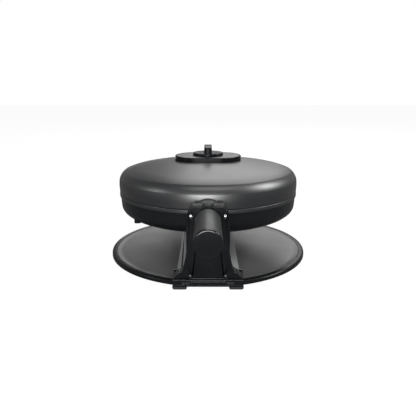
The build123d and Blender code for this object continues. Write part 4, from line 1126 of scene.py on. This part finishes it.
class MakePlates(bpy.types.Operator):
    """Cast waffle plates with their rounded pegs"""

    bl_idname = "waffle.plates"
    bl_label = "Waffle plates"

    def execute(self, context):
        tree = peg_tree()
        finish = plate_finish()
        thick = 12.4 * MM
        deep = 9.0 * MM
        plate_r = 103.0 * MM
        mould_r = 92.0 * MM
        floor_r = 90.0 * MM
        outline = [(0, -thick), (plate_r, -thick), (plate_r, 0), (mould_r, 0), (floor_r, -deep), (0, -deep)]
        for node, face, side in (("lower_plate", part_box("lower_plate")[1].z, 1),
                                 ("upper_plate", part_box("upper_plate")[0].z, -1)):
            bm = turn([(r, face + side * z) for r, z in outline], steps_a_turn(), BODY_AXIS_Y, closed=False)
            bmesh.ops.recalc_face_normals(bm, faces=bm.faces)
            piece = loose(as_mesh(bm, node), node)
            fitted(piece, tree, {
                "Pitch": 17.0 * MM, "Rows": 10, "Reach": 79.6 * MM, "Foot width": 10.5 * MM,
                "Top width": 7.9 * MM, "Height": 7.4 * MM, "Floor": (0, BODY_AXIS_Y, face - side * deep),
                "Turn": (0 if side > 0 else math.pi, 0, 0), "Finish": finish})
            soft = piece.modifiers.new("soft", "BEVEL")
            soft.width = 1.0 * MM
            soft.segments = 3
            soft.limit_method = "ANGLE"
            soft.angle_limit = math.radians(40)
            dress(baked(piece), node + "_piece", body_of(node), finish, (node,), 60)
        return {"FINISHED"}


class MakeStage(bpy.types.Operator):
    """Pale floor, soft lamps and the camera"""

    bl_idname = "waffle.stage"
    bl_label = "Stage"

    def execute(self, context):
        context.scene.view_settings.view_transform = "Standard"
        bm = bmesh.new()
        bmesh.ops.create_grid(bm, x_segments=1, y_segments=1, size=6)
        floor = loose(as_mesh(bm, "floor"), "floor")
        floor.data.materials.append(self.floor_paper())
        self.light_world(context.scene)
        # Each lamp's place, the point it faces, its size and its power in watts.
        for name, place, aim, size, power in (
            ("front_box", (-0.12, -1.75, 0.28), (0, -0.09, 0.095), (0.95, 0.45), 50.0),
            ("top_box", (0.1, -0.62, 1.45), (0, -0.05, 0.1), (1.1, 0.42), 8.5),
            ("right_box", (1.45, 0, 1.15), (0.05, 0.0, 0.1), (0.7, 0.7), 36.0),
            ("left_box", (-1.5, -0.65, 0.7), (-0.05, 0, 0.1), (0.4, 0.4), 8.0),
            ("back_box", (0.3, 1.9, 0.95), (0.02, 0, 0.115), (1.0, 0.6), 4.4),
            ("high_back_box", (0.25, 1.4, 1.6), (0, 0, 0.1), (1.3, 0.9), 12.0),
            ("low_back_box", (-0.15, 0.4, 0.085), (-0.09, 0, 0.01), (0.12, 0.05), 0.05),
        ):
            lamp = bpy.data.lights.new(name, "AREA")
            lamp.shape = "RECTANGLE"
            lamp.size, lamp.size_y = size
            lamp.energy = power
            holder = loose(lamp, name)
            holder.visible_camera = False
            holder.location = place
            holder.rotation_euler = (Vector(aim) - Vector(place)).to_track_quat("-Z", "Y").to_euler()
        self.set_camera(context.scene)
        return {"FINISHED"}

    def set_camera(self, scene):
        """Camera at the photograph's distance and height, looking slightly down."""
        lens = bpy.data.cameras.new("camera")
        lens.sensor_width = 36.0
        lens.lens = 38.88
        lens.clip_start = 0.01
        degrees_down = 14.67
        camera = loose(lens, "camera")
        camera.location = (0, -0.5547, 0.2051)
        camera.rotation_euler = (math.radians(90 - degrees_down), 0, 0)
        scene.camera = camera

    def floor_paper(self):
        """White paper: white to the camera with the object's shadow on it, paler grey to what mirrors it."""
        material = blank_material("white_paper_sweep")
        tree = material.node_tree
        camera_glow = 1.03
        mirrored_less = 0.85
        glow_share = 0.93
        path = add_node(tree, "ShaderNodeLightPath")
        mirrored = add_node(tree, "ShaderNodeMath", {"operation": "MAXIMUM"}, {
            0: path.outputs["Is Glossy Ray"], 1: path.outputs["Is Transmission Ray"]}).outputs[0]
        seen = add_node(tree, "ShaderNodeMath", {"operation": "MAXIMUM"}, {
            0: path.outputs["Is Camera Ray"], 1: mirrored}).outputs[0]
        glow = add_node(tree, "ShaderNodeMath", {"operation": "MULTIPLY_ADD"}, {
            0: mirrored, 1: -mirrored_less, 2: camera_glow}).outputs[0]
        paper = add_node(tree, "ShaderNodeBsdfDiffuse", inputs={"Color": (0.8, 0.8, 0.8, 1)})
        white = add_node(tree, "ShaderNodeEmission", inputs={"Color": (1, 1, 1, 1), "Strength": glow})
        shade = add_node(tree, "ShaderNodeMixShader", inputs={
            0: glow_share, 1: paper.outputs["BSDF"], 2: white.outputs["Emission"]})
        both = add_node(tree, "ShaderNodeMixShader", inputs={
            0: seen, 1: paper.outputs["BSDF"], 2: shade.outputs["Shader"]})
        add_node(tree, "ShaderNodeOutputMaterial", inputs={"Surface": both.outputs["Shader"]})
        return material

    def light_world(self, scene):
        """White to the camera; a dim even room for what is lit by it or mirrors it."""
        lit = 0.1
        reflected = 0.33
        world = bpy.data.worlds.new("studio")
        world.use_nodes = True
        tree = world.node_tree
        tree.nodes.clear()
        path = add_node(tree, "ShaderNodeLightPath")
        mirrored = add_node(tree, "ShaderNodeMath", {"operation": "MAXIMUM"}, {
            0: path.outputs["Is Glossy Ray"], 1: path.outputs["Is Transmission Ray"]}).outputs[0]
        room = add_node(tree, "ShaderNodeMix", {"data_type": "FLOAT"}, {
            "Factor": mirrored, "A": lit, "B": reflected}).outputs["Result"]
        strength = add_node(tree, "ShaderNodeMath", {"operation": "MAXIMUM"}, {
            0: path.outputs["Is Camera Ray"], 1: room}).outputs[0]
        sky = add_node(tree, "ShaderNodeBackground", inputs={"Color": (1, 1, 1, 1), "Strength": strength})
        add_node(tree, "ShaderNodeOutputWorld", inputs={"Surface": sky.outputs["Background"]})
        scene.world = world


class WafflePanel(bpy.types.Panel):
    """Sizes, colours and pieces of the waffle maker"""

    bl_idname = "VIEW3D_PT_waffle_maker"
    bl_label = "Waffle maker"
    bl_space_type = "VIEW_3D"
    bl_region_type = "UI"
    bl_category = "Waffle maker"

    def draw(self, context):
        scene = context.scene
        for group in (scene.waffle_finishes, scene.waffle_edges, scene.waffle_counts):
            for name in group.bl_rna.properties.keys():
                if name not in ("rna_type", "name"):
                    self.layout.prop(group, name)
        for operator in OPERATORS:
            self.layout.operator(operator.bl_idname)


GROUPS = (Finishes, Edges, Counts)
OPERATORS = (MakeLidShell, MakeLowerCasing, MakeDripTray, MakeStand, MakeFeet, MakeBosses, MakeHandle,
             MakeControls, MakeScrews, MakePlates, DressInside, MakeStage)


def register():
    for kind in (*GROUPS, *OPERATORS, WafflePanel):
        bpy.utils.register_class(kind)
    bpy.types.Scene.waffle_finishes = PointerProperty(type=Finishes)
    bpy.types.Scene.waffle_edges = PointerProperty(type=Edges)
    bpy.types.Scene.waffle_counts = PointerProperty(type=Counts)


def unregister():
    del bpy.types.Scene.waffle_counts
    del bpy.types.Scene.waffle_edges
    del bpy.types.Scene.waffle_finishes
    for kind in reversed((*GROUPS, *OPERATORS, WafflePanel)):
        bpy.utils.unregister_class(kind)


def main():
    register()
    for operator in OPERATORS:
        family, name = operator.bl_idname.split(".")
        getattr(getattr(bpy.ops, family), name)()


if __name__ == "__main__":
    main()
